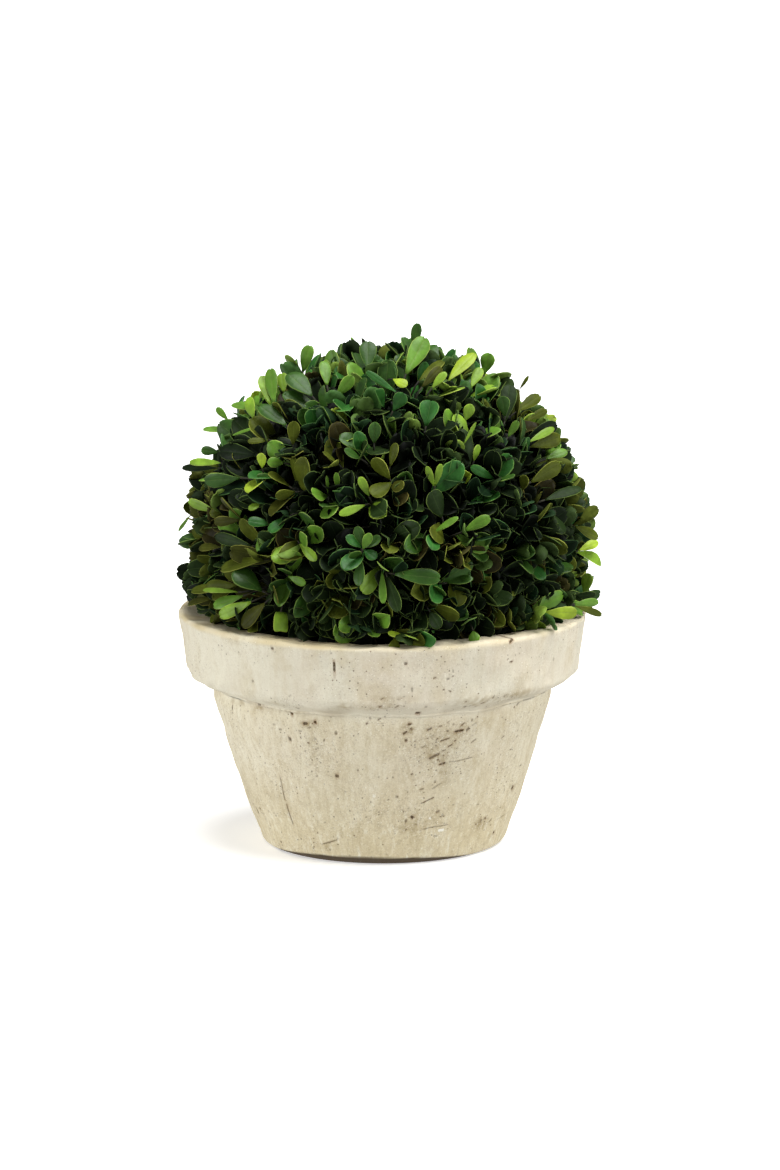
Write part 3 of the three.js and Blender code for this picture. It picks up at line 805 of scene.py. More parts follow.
class Pitting:
    """For each point, its place along and across the nearest pit, in the pit's own half sizes."""

    def __init__(self, points):
        self.points = points
        count = len(points)
        self.nearest = np.full(count, 50.0)
        self.second = np.full(count, 50.0)
        self.along = np.full(count, 9.0)
        self.across = np.full(count, 9.0)
        self.dark = np.zeros(count)
        self.hollow = np.zeros(count)

    def add(self, at, wide, tall, dark, tilt=0.0):
        round_it, rise = around(self.points, at)
        lean = math.radians(tilt)
        along = round_it * math.cos(lean) + rise * math.sin(lean)
        across = rise * math.cos(lean) - round_it * math.sin(lean)
        beyond = np.maximum(np.abs(along) - wide / 2, 0)
        above = np.maximum(np.abs(across) - tall / 2, 0)
        away = np.hypot(beyond, above)
        closer = away < self.nearest
        self.second = np.where(closer, self.nearest, np.minimum(self.second, away))
        self.nearest = np.where(closer, away, self.nearest)
        self.along = np.where(closer, along / (wide / 2), self.along)
        self.across = np.where(closer, across / (tall / 2), self.across)
        self.dark = np.where(closer, dark, self.dark)
        if dark > 0:
            depth = 0.35 * min(wide, tall)
            shape = np.exp(-(along / (wide / 2 + 0.3)) ** 2 - (across / (tall / 2 + 0.3)) ** 2)
            self.hollow = np.maximum(self.hollow, shape * depth)

    def add_crack(self, start, end, wide, dark):
        """A crack between two places on the pot's side, each an angle and a height."""
        middle = ((start[0] + end[0]) / 2, (start[1] + end[1]) / 2)
        run = (end[0] - start[0]) * pot_side_radius(middle[1])
        rise = end[1] - start[1]
        self.add(middle, math.hypot(run, rise), wide, dark, math.degrees(math.atan2(rise, run)))

    def marks(self):
        """The amounts that the cement's finish reads. Clear fades out where two pits are as near."""
        clear = np.clip((self.second - self.nearest) / 3, 0, 1)
        return {
            "pit_along": self.along, "pit_across": self.across,
            "pit_dark": self.dark, "pit_clear": clear,
        }


def add_scratches(pitting, sight, random):
    """Fine seeded scratches in the crowded patches, wherever no other mark is near."""
    for patch in SPECKLED.values():
        count = round(patch["strength"] * (2 + patch["wide"] * patch["tall"] * SCRATCHES))
        for _ in range(count):
            shift = random.normal(size=2) * (patch["wide"], patch["tall"])
            at = sight.on_pot(np.array(patch["at"]) + shift)
            length = random.uniform(0.7, 2.3)
            width = random.uniform(0.35, 0.6)
            dark = random.uniform(0.35, 0.75)
            tilt = random.normal(20, 22)
            place = np.hypot(*around(pitting.points, at)).argmin()
            if pitting.nearest[place] > SCRATCH_ROOM:
                pitting.add(at, length, width, dark, tilt)


def full_profile():
    """The whole pot's profile: underside, outside, lip, inside and inner floor."""
    outer = refined(OUTER_PROFILE, 0.84)
    inner = refined([outer[-1], (MOUTH_RADIUS - 4, POT_HEIGHT - 20)], 2)
    depths = refined([inner[-1], (INNER_FLOOR_RADIUS, FLOOR_THICKNESS), (1, FLOOR_THICKNESS)], 9)
    underside = refined([(1, 0), outer[0]], 7)
    return np.concatenate([underside[:-1], outer, inner[1:], depths[1:]])


class PotSkin:
    """The pot's turned points, as they are shaped and marked."""

    def __init__(self, sight, random):
        self.sight = sight
        self.random = random
        profile = full_profile()
        runs = np.gradient(profile, axis=0)
        runs /= np.linalg.norm(runs, axis=1)[:, None]
        even = np.arange(POT_SIDES) * FULL_TURN / POT_SIDES
        # More sides face the viewer, at minus a quarter turn
        angles = even - FRONT_SHARE * np.sin(even + math.pi / 2)
        self.faces = closed_faces(len(profile), POT_SIDES)
        self.points = turned(profile, angles)
        self.outward = turned(np.stack([runs[:, 1], -runs[:, 0]], axis=1), angles)
        self.radius = np.hypot(self.points[:, 0], self.points[:, 1])
        self.over_wall = self.radius > MOUTH_RADIUS - 3
        self.front = self.points[:, 1] < 10

    def unevenness(self):
        """Handmade lumps and swellings, in millimetres past a true round."""
        height = self.points[:, 2]
        push = 0.3 * lumps(self.points * (1, 1, 0.6), 90, self.random)
        push += 0.2 * lumps(self.points, 26, self.random)
        push += 0.1 * lumps(self.points, 8, self.random)
        sideways = self.points[:, 0] / np.maximum(self.radius, 1)
        push += np.interp(height, *zip(*LEFT_SWELL)) * np.clip(-sideways, 0, 1) ** 2
        push += np.interp(height, *zip(*RIGHT_SWELL)) * np.clip(sideways, 0, 1) ** 2
        # The rim's lower edge is rougher at the left
        band = np.exp(-((height - RIM_SIDE_LOW) / 3.5) ** 2)
        left = self.points[:, 0] < -60
        return push + band * np.where(left, 0.5, 0.1) * lumps(self.points, 11, self.random)

    def pitting(self):
        """Seeded pits all round, then the photograph's pits and cracks, and fine scratches."""
        random = self.random
        on_pot = self.sight.on_pot
        pitting = Pitting(self.points)
        for _ in range(SEEDED_PITS):
            at = (random.uniform(0, FULL_TURN), random.uniform(4, POT_HEIGHT - 5))
            tall = random.uniform(0.35, 0.75)
            wide = tall * random.uniform(0.9, 2.0)
            dark = random.uniform(0.15, 0.5)
            pitting.add(at, wide, tall, dark, tilt=random.uniform(-30, 30))
        for pit in PITS.values():
            pitting.add(on_pot(pit["at"]), pit["wide"], pit["tall"], pit["dark"], pit.get("tilt", 0))
        for crack in CRACKS.values():
            pitting.add_crack(on_pot(crack["start"]), on_pot(crack["end"]), crack["wide"], crack["dark"])
        add_scratches(pitting, self.sight, np.random.default_rng(SCRATCH_SEED))
        return pitting

    def in_mark(self, mark):
        """How much each point of the pot's front lies in a mark of the photograph."""
        place = self.sight.on_pot(mark["at"])
        return marked(self.points, place, mark["wide"], mark["tall"]) * self.front

    def stains_and_shadows(self):
        """How much stain and painted shadow each point holds, a little mottled."""
        stain_and_shadow = np.zeros(len(self.points))
        for mark in STAINS_AND_SHADOWS.values():
            mottled = 0.75 + 0.35 * lumps(self.points, 3, self.random)
            stain_and_shadow = np.maximum(stain_and_shadow, self.in_mark(mark) * mark["strength"] * mottled)
        return stain_and_shadow

    def speckles(self):
        """How crowded with specks each point's surroundings are."""
        speckled = np.clip(0.18 + 0.14 * lumps(self.points, 30, self.random), 0, 1)
        for mark in SPECKLED.values():
            speckled = np.maximum(speckled, self.in_mark(mark) * mark["strength"])
        return speckled

    def hollows(self, pitting):
        """How deep the pits and the rim's chips are."""
        hollow = pitting.hollow
        for chip in CHIPS.values():
            hollow = np.maximum(hollow, self.in_mark(chip) * chip["deep"])
        return hollow

    def shape(self, push):
        """Pushes out the points that show, none at the underside, and waves the lip a little."""
        height = self.points[:, 2]
        shown = (self.radius > MOUTH_RADIUS - 5) | (height < POT_HEIGHT - 20)
        shown &= (height > 0.5) & (self.radius > pot_side_radius(height) - 20)
        lift = np.clip(height / 8, 0, 1)
        self.points += self.outward * (push * lift * shown)[:, None]
        self.lip = np.clip((self.points[:, 2] - POT_HEIGHT + 6) / 6, 0, 1) * self.over_wall
        self.points[:, 2] += self.lip * 0.2 * lumps(self.points * (1, 1, 0), 60, self.random)

    def weathering_and_painted_light(self, stain_and_shadow):
        """Soil and tan where leaves and water lie, a painted shadow along the foot's front edge, and pale
        painted light on the ledge under the rim.
        """
        height = self.points[:, 2]
        top = np.clip((height - POT_HEIGHT + 2.2) / 1.5, 0, 1) * self.over_wall
        inner_lip = np.clip((MOUTH_RADIUS + 7 - self.radius) / 6, 0, 1) * self.lip
        patch = np.clip(0.5 + 0.5 * lumps(self.points, 22, self.random), 0, 1)
        soil_and_shadow = np.clip(inner_lip * (0.02 + 0.25 * patch), 0, 0.5)
        inside = (height < POT_HEIGHT - 6) & (self.radius < pot_side_radius(height) - 12)
        soil_and_shadow = np.maximum(soil_and_shadow, 0.75 * inside)
        # A painted shadow along the lowest edge of the foot's front, where it meets the floor
        facing = np.arctan2(self.points[:, 1], self.points[:, 0])
        foot_shadow = np.clip(np.cos((facing - math.radians(FOOT_SHADOW_ANGLE)) * 1.6), 0, 1) * self.front
        soil_and_shadow = np.maximum(soil_and_shadow, np.clip((0.7 + FOOT_SHADOW_HEIGHT * foot_shadow - height) / 0.5, 0, 0.95))
        leftward = np.clip((30 - self.points[:, 0]) / 60, 0, 1)
        lip_tan = top * (0.4 + 0.3 * leftward) * (0.5 + 0.8 * patch)
        # The ledge under the rim: tan stains in places, and painted pale between them, as painted light that
        # stands in for light from below
        under_rim = np.exp(-((height - BODY_TOP - 4) / 5.0) ** 2) * (self.radius > BODY_TOP_RADIUS - 4)
        stain_and_shadow = np.maximum(stain_and_shadow, under_rim * (0.04 + 0.24 * patch ** 2))
        return {
            "stain_and_shadow": np.clip(stain_and_shadow, 0, 0.85), "soil_and_shadow": soil_and_shadow,
            "lip_tan": np.clip(lip_tan, 0, 0.9), "ledge_painted_light": under_rim * 0.4 * (1 - patch ** 2),
        }


def pot_piece(sight, random):
    """The pot as one closed turned mesh, with lumps, pits, cracks and a chipped rim."""
    skin = PotSkin(sight, random)
    push = skin.unevenness()
    pitting = skin.pitting()
    stain_and_shadow = skin.stains_and_shadows()
    speckled = skin.speckles()
    skin.shape(push - skin.hollows(pitting))
    amounts = {**skin.weathering_and_painted_light(stain_and_shadow), "speckled": speckled, **pitting.marks()}
    # The two points that close the underside and the inner floor bear no mark
    marks = {mark: np.concatenate([amount, np.zeros(2)]) for mark, amount in amounts.items()}
    points = np.concatenate([skin.points, [[0, 0, 0], [0, 0, FLOOR_THICKNESS]]])
    piece = mesh_piece("cement_pot", points, skin.faces, [cement_finish()], marks=marks)
    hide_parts("pot")


# Potting mix

MIX_SIDES = 120
# How far the fill stays clear of the pot's wall
MIX_INSET = 0.6


def mix_piece(random):
    """The potting mix with a loose, lumpy top."""
    slope = (MOUTH_RADIUS - INNER_FLOOR_RADIUS) / (POT_HEIGHT - FLOOR_THICKNESS)
    low_radius = INNER_FLOOR_RADIUS + slope * (MIX_LOW - FLOOR_THICKNESS) - MIX_INSET
    top_radius = INNER_FLOOR_RADIUS + slope * (MIX_TOP - FLOOR_THICKNESS) - MIX_INSET - 1
    profile = np.concatenate([
        refined([(1, MIX_LOW), (low_radius, MIX_LOW), (top_radius, MIX_TOP - 2)], 12),
        refined([(top_radius - 1, MIX_TOP - 1), (1, MIX_TOP - 1)], 2),
    ])
    points = turned(profile, np.arange(MIX_SIDES) * FULL_TURN / MIX_SIDES)
    top = points[:, 2] > MIX_TOP - 3
    points[:, 2] += top * (0.7 * lumps(points, 14, random) + 0.5 * lumps(points, 5, random))
    points = np.concatenate([points, [[0, 0, MIX_LOW], [0, 0, MIX_TOP - 1]]])
    faces = closed_faces(len(profile), MIX_SIDES)
    piece = mesh_piece("loose_potting_mix", points, faces, [mix_finish()])
    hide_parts("potting_mix")


# Stem, boughs and twigs

# The stem's lean and radii, as in the source
STEM_RISE = STEM_TOP - STEM_FOOT
STEM_LEAN_RIGHT = 3.5
STEM_LEAN_FORWARD = 2.1
STEM_FOOT_RADIUS = 6.5
STEM_TIP_RADIUS = 4.8
STEM_TAPER_LENGTH = 56
FLARE_RADIUS = 12
FLARE_END_RADIUS = 6.2
FLARE_LENGTH = 9
STEM_RINGS = 70
STEM_SIDES = 40
BARK_RELIEF = 0.05


def stem_centre(share):
    """The source's line of the stem, from its foot to its tip."""
    return np.array([STEM_LEAN_RIGHT * share ** 2, -STEM_LEAN_FORWARD * share, STEM_FOOT + STEM_RISE * share])


def stem_radius(rise):
    """The stem's taper, or the flare at its foot where that is wider."""
    taper = STEM_FOOT_RADIUS + (STEM_TIP_RADIUS - STEM_FOOT_RADIUS) * rise / STEM_TAPER_LENGTH
    return max(taper, FLARE_RADIUS - (FLARE_RADIUS - FLARE_END_RADIUS) * rise / FLARE_LENGTH)


def stem_piece(bark, random):
    """The short stem with fissured bark in relief."""
    shares = np.linspace(0, 1, STEM_RINGS)
    path = [stem_centre(share) for share in shares]
    radii = [stem_radius(share * STEM_RISE) for share in shares]
    points, faces = tube(path, radii, STEM_SIDES)
    middles = np.repeat(path, STEM_SIDES, axis=0)
    skin = points[:-2]
    ridge = lumps(skin * (1, 1, 0.18), 5, random) + 0.5 * lumps(skin * (1, 1, 0.4), 2.6, random)
    swollen = 1 + BARK_RELIEF * np.clip(ridge, -1.2, 1.2)
    points[:-2] = middles + (skin - middles) * swollen[:, None]
    piece = mesh_piece("box_stem", points, faces, [bark])
    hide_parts("stem")


def direction_of(azimuth, elevation):
    """The direction of two angles in degrees."""
    across = math.radians(azimuth)
    rise = math.radians(elevation)
    level = math.cos(rise)
    return np.array([level * math.cos(across), level * math.sin(across), math.sin(rise)])


def even_direction(i, count, lowest):
    """Directions spread evenly over the ball from its top down to the lowest."""
    rise = 1 - (1 - lowest) * (i + 0.5) / count
    level = math.sqrt(1 - rise ** 2)
    return np.array([level * math.cos(i * GOLDEN_ANGLE), level * math.sin(i * GOLDEN_ANGLE), rise])


def side_directions(along):
    """Two directions square to a limb and to each other."""
    spare = UP if abs(along @ UP) < 0.9 else np.array([1.0, 0.0, 0.0])
    side = unit(np.cross(along, spare))
    return side, np.cross(side, along)


def spread_from(along, turn, angle):
    """A direction that leaves a limb at an angle in degrees, turned round it."""
    side, over = side_directions(along)
    away = math.cos(turn) * side + math.sin(turn) * over
    return unit(math.cos(math.radians(angle)) * along + math.sin(math.radians(angle)) * away)


def clear_of_pot(points):
    """True where points lie neither in the pot's wall nor below its lip outside it."""
    radius = np.hypot(points[..., 0], points[..., 1])
    over_wall = radius > MOUTH_RADIUS - 3
    return ~over_wall | (points[..., 2] > POT_HEIGHT + 1.2)


# How the bush grows

BOUGHS = 18
INNER_LEAVES = 1700
# Pairs of leaves back from a tip: how far back in millimetres, how spread in degrees, and their size
MAIN_PAIRS = ((0, 13, 0.74), (1.5, 29, 0.95), (7, 42, 1.05), (14, 50, 1.0), (22, 58, 0.85))
SIDE_PAIRS = ((0, 15, 0.76), (3, 34, 0.95), (10, 48, 0.95))
SKIRT_PAIRS = ((0, 14, 0.8), (4, 32, 1.0), (10, 46, 1.0), (17, 58, 0.9))
# Side twigs: place along the shoot, and how often one grows there
SIDE_TWIGS = ((0.35, 0.5), (0.62, 0.25))
# How much wider the pairs have opened at the front, which is clipped more lightly
FRONT_OPENING = 0.35
# The level shoots over the lip: how far they reach, and how much less at the front
SKIRT_SHOOTS = 66
SKIRT_REACH = 104
SKIRT_FRONT_CUT = 9
# How much higher they lie at the far left, where their direction's X is less than this
SKIRT_LEFT_RISE = 4
FAR_LEFT = -0.8
# Where the leaves leave the lip bare, and by how many millimetres
BARE_LIP = np.array([0.8, -0.6, 0.0])
BARE_LIP_DEPTH = 8


# Leaves that show singly in the photograph: the pixels of their foot and tip, their width in pixels and
# their colour. Where told, also how far they stand out in millimetres, how cupped and how blunt they are,
# and whether they stand alone, without pairs round their foot
PLACED_LEAVES = {
    "pointed top leaf": dict(foot=(413, 348), tip=(418, 323), wide=11, colour="mid"),
    "big leaf at the top": dict(foot=(406, 374), tip=(425, 338), wide=20, colour="sage", cup=0.25),
    "round leaf at the top": dict(foot=(368, 370), tip=(368, 341), wide=18, colour="mid", cup=0.3),
    "thin leaf beside it": dict(foot=(360, 354), tip=(351, 337), wide=5, colour="sage", alone=True),
    "bright top leaf": dict(foot=(448, 381), tip=(475, 352), wide=16, colour="bright", out=1),
    "bright curved leaf": dict(foot=(419, 381), tip=(443, 359), wide=12, colour="olive"),
    "olive leaf before it": dict(foot=(422, 387), tip=(442, 366), wide=11, colour="brown", out=2),
    "glossy leaf below it": dict(foot=(432, 388), tip=(446, 372), wide=9, colour="fresh", out=2),
    "top right leaf": dict(foot=(484, 375), tip=(490, 353), wide=16, colour="sage"),
    "fresh leaf below it": dict(foot=(471, 388), tip=(481, 367), wide=11, colour="fresh", out=1),
    "small yellow leaf": dict(foot=(393, 379), tip=(407, 386), wide=11, colour="bright", out=1),
    "pale shiny leaf": dict(foot=(336, 397), tip=(353, 376), wide=13, colour="sage"),
    "emerald shoulder leaf": dict(foot=(393, 411), tip=(404, 393), wide=15, colour="emerald"),
    "folded emerald leaf": dict(foot=(426, 426), tip=(431, 400), wide=20, colour="emerald", cup=0.9),
    "big dark leaf, upper left": dict(foot=(312, 396), tip=(288, 372), wide=22, colour="mid"),
    "fresh leaf, upper left": dict(foot=(303, 372), tip=(309, 345), wide=14, colour="sage"),
    "second fresh leaf, upper left": dict(foot=(270, 405), tip=(262, 376), wide=15, colour="fresh"),
    "thin leaf, far right": dict(foot=(519, 390), tip=(529, 376), wide=4, colour="olive", alone=True),
    "olive round leaf": dict(foot=(390, 479), tip=(373, 459), wide=18, colour="olive", cup=0.1),
    "olive leaf above it": dict(foot=(390, 467), tip=(397, 443), wide=12, colour="olive"),
    "olive leaf below it": dict(foot=(391, 483), tip=(371, 495), wide=17, colour="olive", cup=0.1),
    "bright leaf by the olive ones": dict(foot=(369, 496), tip=(360, 478), wide=9, colour="fresh"),
    "fresh pair, left half": dict(foot=(434, 486), tip=(427, 467), wide=7, colour="fresh"),
    "fresh pair, right half": dict(foot=(435, 486), tip=(441, 464), wide=7, colour="fresh"),
    "round emerald leaf": dict(foot=(442, 517), tip=(431, 491), wide=22, colour="moss", cup=0.05),
    "curved sage leaf": dict(foot=(433, 533), tip=(458, 517), wide=8, colour="sage"),
    "sage leaf beside it": dict(foot=(464, 531), tip=(490, 517), wide=12, colour="sage"),
    "small fresh leaf": dict(foot=(474, 461), tip=(478, 445), wide=10, colour="fresh"),
    "fresh leaf, upper right": dict(foot=(465, 421), tip=(471, 404), wide=12, colour="fresh"),
    "narrow leaf below it": dict(foot=(464, 444), tip=(475, 422), wide=5, colour="fresh"),
    "dark leaf, right": dict(foot=(527, 438), tip=(557, 424), wide=15, colour="deep"),
    "narrow bright leaf, right": dict(foot=(529, 442), tip=(555, 427), wide=8, colour="fresh", out=2),
    "low fresh leaf": dict(foot=(365, 505), tip=(340, 514), wide=9, colour="fresh"),
    "long olive leaf, far left": dict(foot=(221, 463), tip=(188, 461), wide=9, colour="fresh", out=2),
    "dark leaf under it": dict(foot=(218, 468), tip=(182, 468), wide=9, colour="deep"),
    "big dark leaf, left": dict(foot=(256, 455), tip=(218, 450), wide=19, colour="deep"),
    "fresh leaf, far left": dict(foot=(215, 511), tip=(187, 501), wide=10, colour="fresh"),
    "thin leaf, far left": dict(foot=(192, 513), tip=(178, 531), wide=4, colour="sage", alone=True),
    "round yellow leaf, left": dict(foot=(262, 468), tip=(262, 453), wide=11, colour="bright", out=2),
    "sage leaf, left": dict(foot=(284, 463), tip=(268, 462), wide=11, colour="sage", out=1),
    "lower sage leaf, left": dict(foot=(289, 486), tip=(268, 473), wide=15, colour="olive"),
    "upright olive leaf, left": dict(foot=(293, 445), tip=(294, 421), wide=13, colour="olive"),
    "emerald leaf, left": dict(foot=(270, 524), tip=(248, 521), wide=11, colour="emerald"),
    "emerald leaf beside it": dict(foot=(288, 517), tip=(269, 531), wide=12, colour="emerald"),
    "fresh chip, left": dict(foot=(261, 503), tip=(249, 509), wide=8, colour="fresh"),
    "big leaf, lower left": dict(foot=(262, 591), tip=(234, 570), wide=24, colour="mid"),
    "fresh leaf over the lip": dict(foot=(251, 602), tip=(220, 616), wide=14, colour="fresh", out=3),
    "olive leaf over the lip": dict(foot=(265, 603), tip=(242, 627), wide=17, colour="brown", out=3),
    "pale ribbed leaf": dict(foot=(361, 558), tip=(358, 585), wide=13, colour="mid", out=1),
    "narrow low leaf": dict(foot=(382, 571), tip=(383, 603), wide=8, colour="sage"),
    "shiny low leaf": dict(foot=(387, 577), tip=(399, 612), wide=14, colour="moss", out=1),
    "long low leaf": dict(foot=(395, 574), tip=(440, 578), wide=17, colour="mid", cup=0.25, out=2),
    "shiny leaf beside it": dict(foot=(447, 583), tip=(472, 577), wide=12, colour="mid"),
    "star leaf, left": dict(foot=(362, 548), tip=(347, 536), wide=11, colour="emerald", out=2),
    "star leaf, up": dict(foot=(363, 547), tip=(357, 527), wide=11, colour="mid", out=2),
    "star leaf, right": dict(foot=(364, 548), tip=(380, 537), wide=11, colour="mid", out=2),
    "star leaf, middle": dict(foot=(363, 549), tip=(370, 534), wide=10, colour="sage", out=4),
    "star leaf, low right": dict(foot=(364, 550), tip=(376, 558), wide=12, colour="emerald", out=2),
    "fresh leaf on the lip": dict(foot=(404, 636), tip=(388, 634), wide=9, colour="bright", out=2),
    "leaf that hangs over the lip": dict(foot=(395, 638), tip=(394, 652), wide=12, colour="olive", out=3),
    "small leaf on the lip": dict(foot=(473, 631), tip=(475, 642), wide=12, colour="sage", out=1),
    "yellow leaf, right lip": dict(foot=(545, 612), tip=(577, 613), wide=14, colour="bright", out=2),
    "round yellow leaf, far right": dict(foot=(584, 594), tip=(589, 573), wide=12, colour="fresh"),
    "upper leaf of the far right pair": dict(foot=(575, 604), tip=(598, 602), wide=9, colour="sage", out=5),
    "lower leaf of the far right pair": dict(foot=(575, 606), tip=(602, 615), wide=8, colour="olive", out=6),
    "bright leaf, far right": dict(foot=(578, 551), tip=(598, 542), wide=10, colour="bright"),
    "sage leaf, far right": dict(foot=(575, 526), tip=(598, 538), wide=12, colour="olive"),
    "leaf left of the shoulder": dict(foot=(263, 409), tip=(231, 404), wide=12, colour="sage"),
    "small leaf at its left": dict(foot=(228, 420), tip=(216, 408), wide=8, colour="sage"),
    "upright leaf on the shoulder": dict(foot=(274, 402), tip=(270, 368), wide=14, colour="sage"),
    "leaf under the shoulder": dict(foot=(286, 425), tip=(259, 405), wide=16, colour="mid"),
    "thin stalk on the left": dict(foot=(265, 424), tip=(232, 435), wide=3, colour="sage", alone=True),
    "small olive leaf, left": dict(foot=(268, 440), tip=(248, 441), wide=7, colour="olive"),
    "small leaf on the left edge": dict(foot=(219, 452), tip=(201, 450), wide=10, colour="mid"),
    "upright sage leaf near the top": dict(foot=(327, 385), tip=(324, 360), wide=12, colour="sage"),
    "long narrow leaf": dict(foot=(396, 392), tip=(366, 372), wide=8, colour="emerald", out=2),
    "folded leaf in the middle": dict(foot=(374, 443), tip=(375, 422), wide=13, colour="mid", cup=0.8),
    "level leaf in the middle": dict(foot=(361, 459), tip=(344, 450), wide=11, colour="mid"),
    "first thin upright leaf": dict(foot=(328, 494), tip=(327, 476), wide=5, colour="sage"),
    "second thin upright leaf": dict(foot=(338, 491), tip=(336, 472), wide=6, colour="sage"),
    "curved olive leaf": dict(foot=(337, 463), tip=(324, 451), wide=7, colour="olive"),
    "big leaf, upper right": dict(foot=(505, 421), tip=(510, 384), wide=18, colour="moss"),
    "leaf before it": dict(foot=(505, 416), tip=(502, 396), wide=14, colour="mid", out=2),
    "olive leaf, upper right edge": dict(foot=(516, 412), tip=(541, 394), wide=13, colour="olive"),
    "narrow leaf below that": dict(foot=(526, 421), tip=(548, 409), wide=9, colour="olive"),
    "olive leaf, right edge": dict(foot=(530, 447), tip=(563, 437), wide=15, colour="olive"),
    "fresh leaf, right edge": dict(foot=(546, 459), tip=(567, 451), wide=11, colour="sage"),
    "small sage leaf, right": dict(foot=(508, 437), tip=(518, 421), wide=8, colour="sage"),
    "round leaf, right": dict(foot=(522, 491), tip=(526, 475), wide=11, colour="olive"),
    "emerald leaf, right": dict(foot=(494, 479), tip=(472, 467), wide=10, colour="emerald"),
    "brown leaf, right": dict(foot=(531, 482), tip=(560, 464), wide=16, colour="olive"),
    "leaf below the far left ones": dict(foot=(240, 478), tip=(204, 481), wide=16, colour="mid"),
    "olive leaf in the left half": dict(foot=(295, 492), tip=(275, 496), wide=11, colour="olive"),
    "brown leaf, left": dict(foot=(240, 520), tip=(213, 522), wide=11, colour="brown"),
    "lower brown leaf, left": dict(foot=(221, 547), tip=(198, 547), wide=10, colour="brown"),
    "folded fresh leaf": dict(foot=(300, 544), tip=(316, 561), wide=10, colour="fresh", cup=0.7),
    "olive leaf, low left": dict(foot=(237, 585), tip=(204, 587), wide=14, colour="olive"),
    "its fresh lower edge": dict(foot=(238, 592), tip=(202, 589), wide=6, colour="fresh", out=2, alone=True),
    "sage leaf, low left": dict(foot=(243, 596), tip=(213, 606), wide=13, colour="sage", out=1),
    "sage leaf, lower middle": dict(foot=(288, 576), tip=(305, 584), wide=9, colour="sage"),
    "striped cut leaf on the lip": dict(
        foot=(281, 612), tip=(281, 631), wide=15, colour="fresh", alone=True, cup=0, blunt=0.15,
    ),
    "bright shoulder leaf, left": dict(foot=(284, 392), tip=(281, 372), wide=12, colour="fresh"),
    "fresh leaf on the left shoulder": dict(foot=(254, 420), tip=(247, 396), wide=12, colour="fresh"),
    "low leaf on the lip, middle": dict(foot=(430, 612), tip=(440, 628), wide=14, colour="moss", out=2),
    "level low leaf, left": dict(foot=(262, 560), tip=(218, 566), wide=16, colour="olive"),
    "level low leaf above it": dict(foot=(252, 546), tip=(214, 536), wide=13, colour="moss"),
    "leaf over the left lip": dict(foot=(226, 586), tip=(192, 592), wide=13, colour="olive", out=1),
    "leaf over the far left lip": dict(foot=(214, 598), tip=(186, 602), wide=11, colour="brown", out=1),
    "shoulder tip, right": dict(foot=(545, 500), tip=(582, 487), wide=13, colour="moss"),
}
# How far their feet and tips are from the crown's centre
PLACED_FOOT = 94
PLACED_TIP = 101.5
# How far a tip comes forward or back at most, as a share of the leaf's length
PLACED_TILT = 0.5
# Pairs of leaves round the foot of each: how far back in millimetres and how spread in degrees
PLACED_COMPANIONS = ((1.5, 36), (7, 52))


def leaf_row(at, along, face, length, width, cup, bend, blunt, shift):
    """A leaf as a row of numbers. Shift moves its broadest part towards the tip or the foot."""
    return (*at, *along, *face, length, width, cup, bend, blunt, shift)


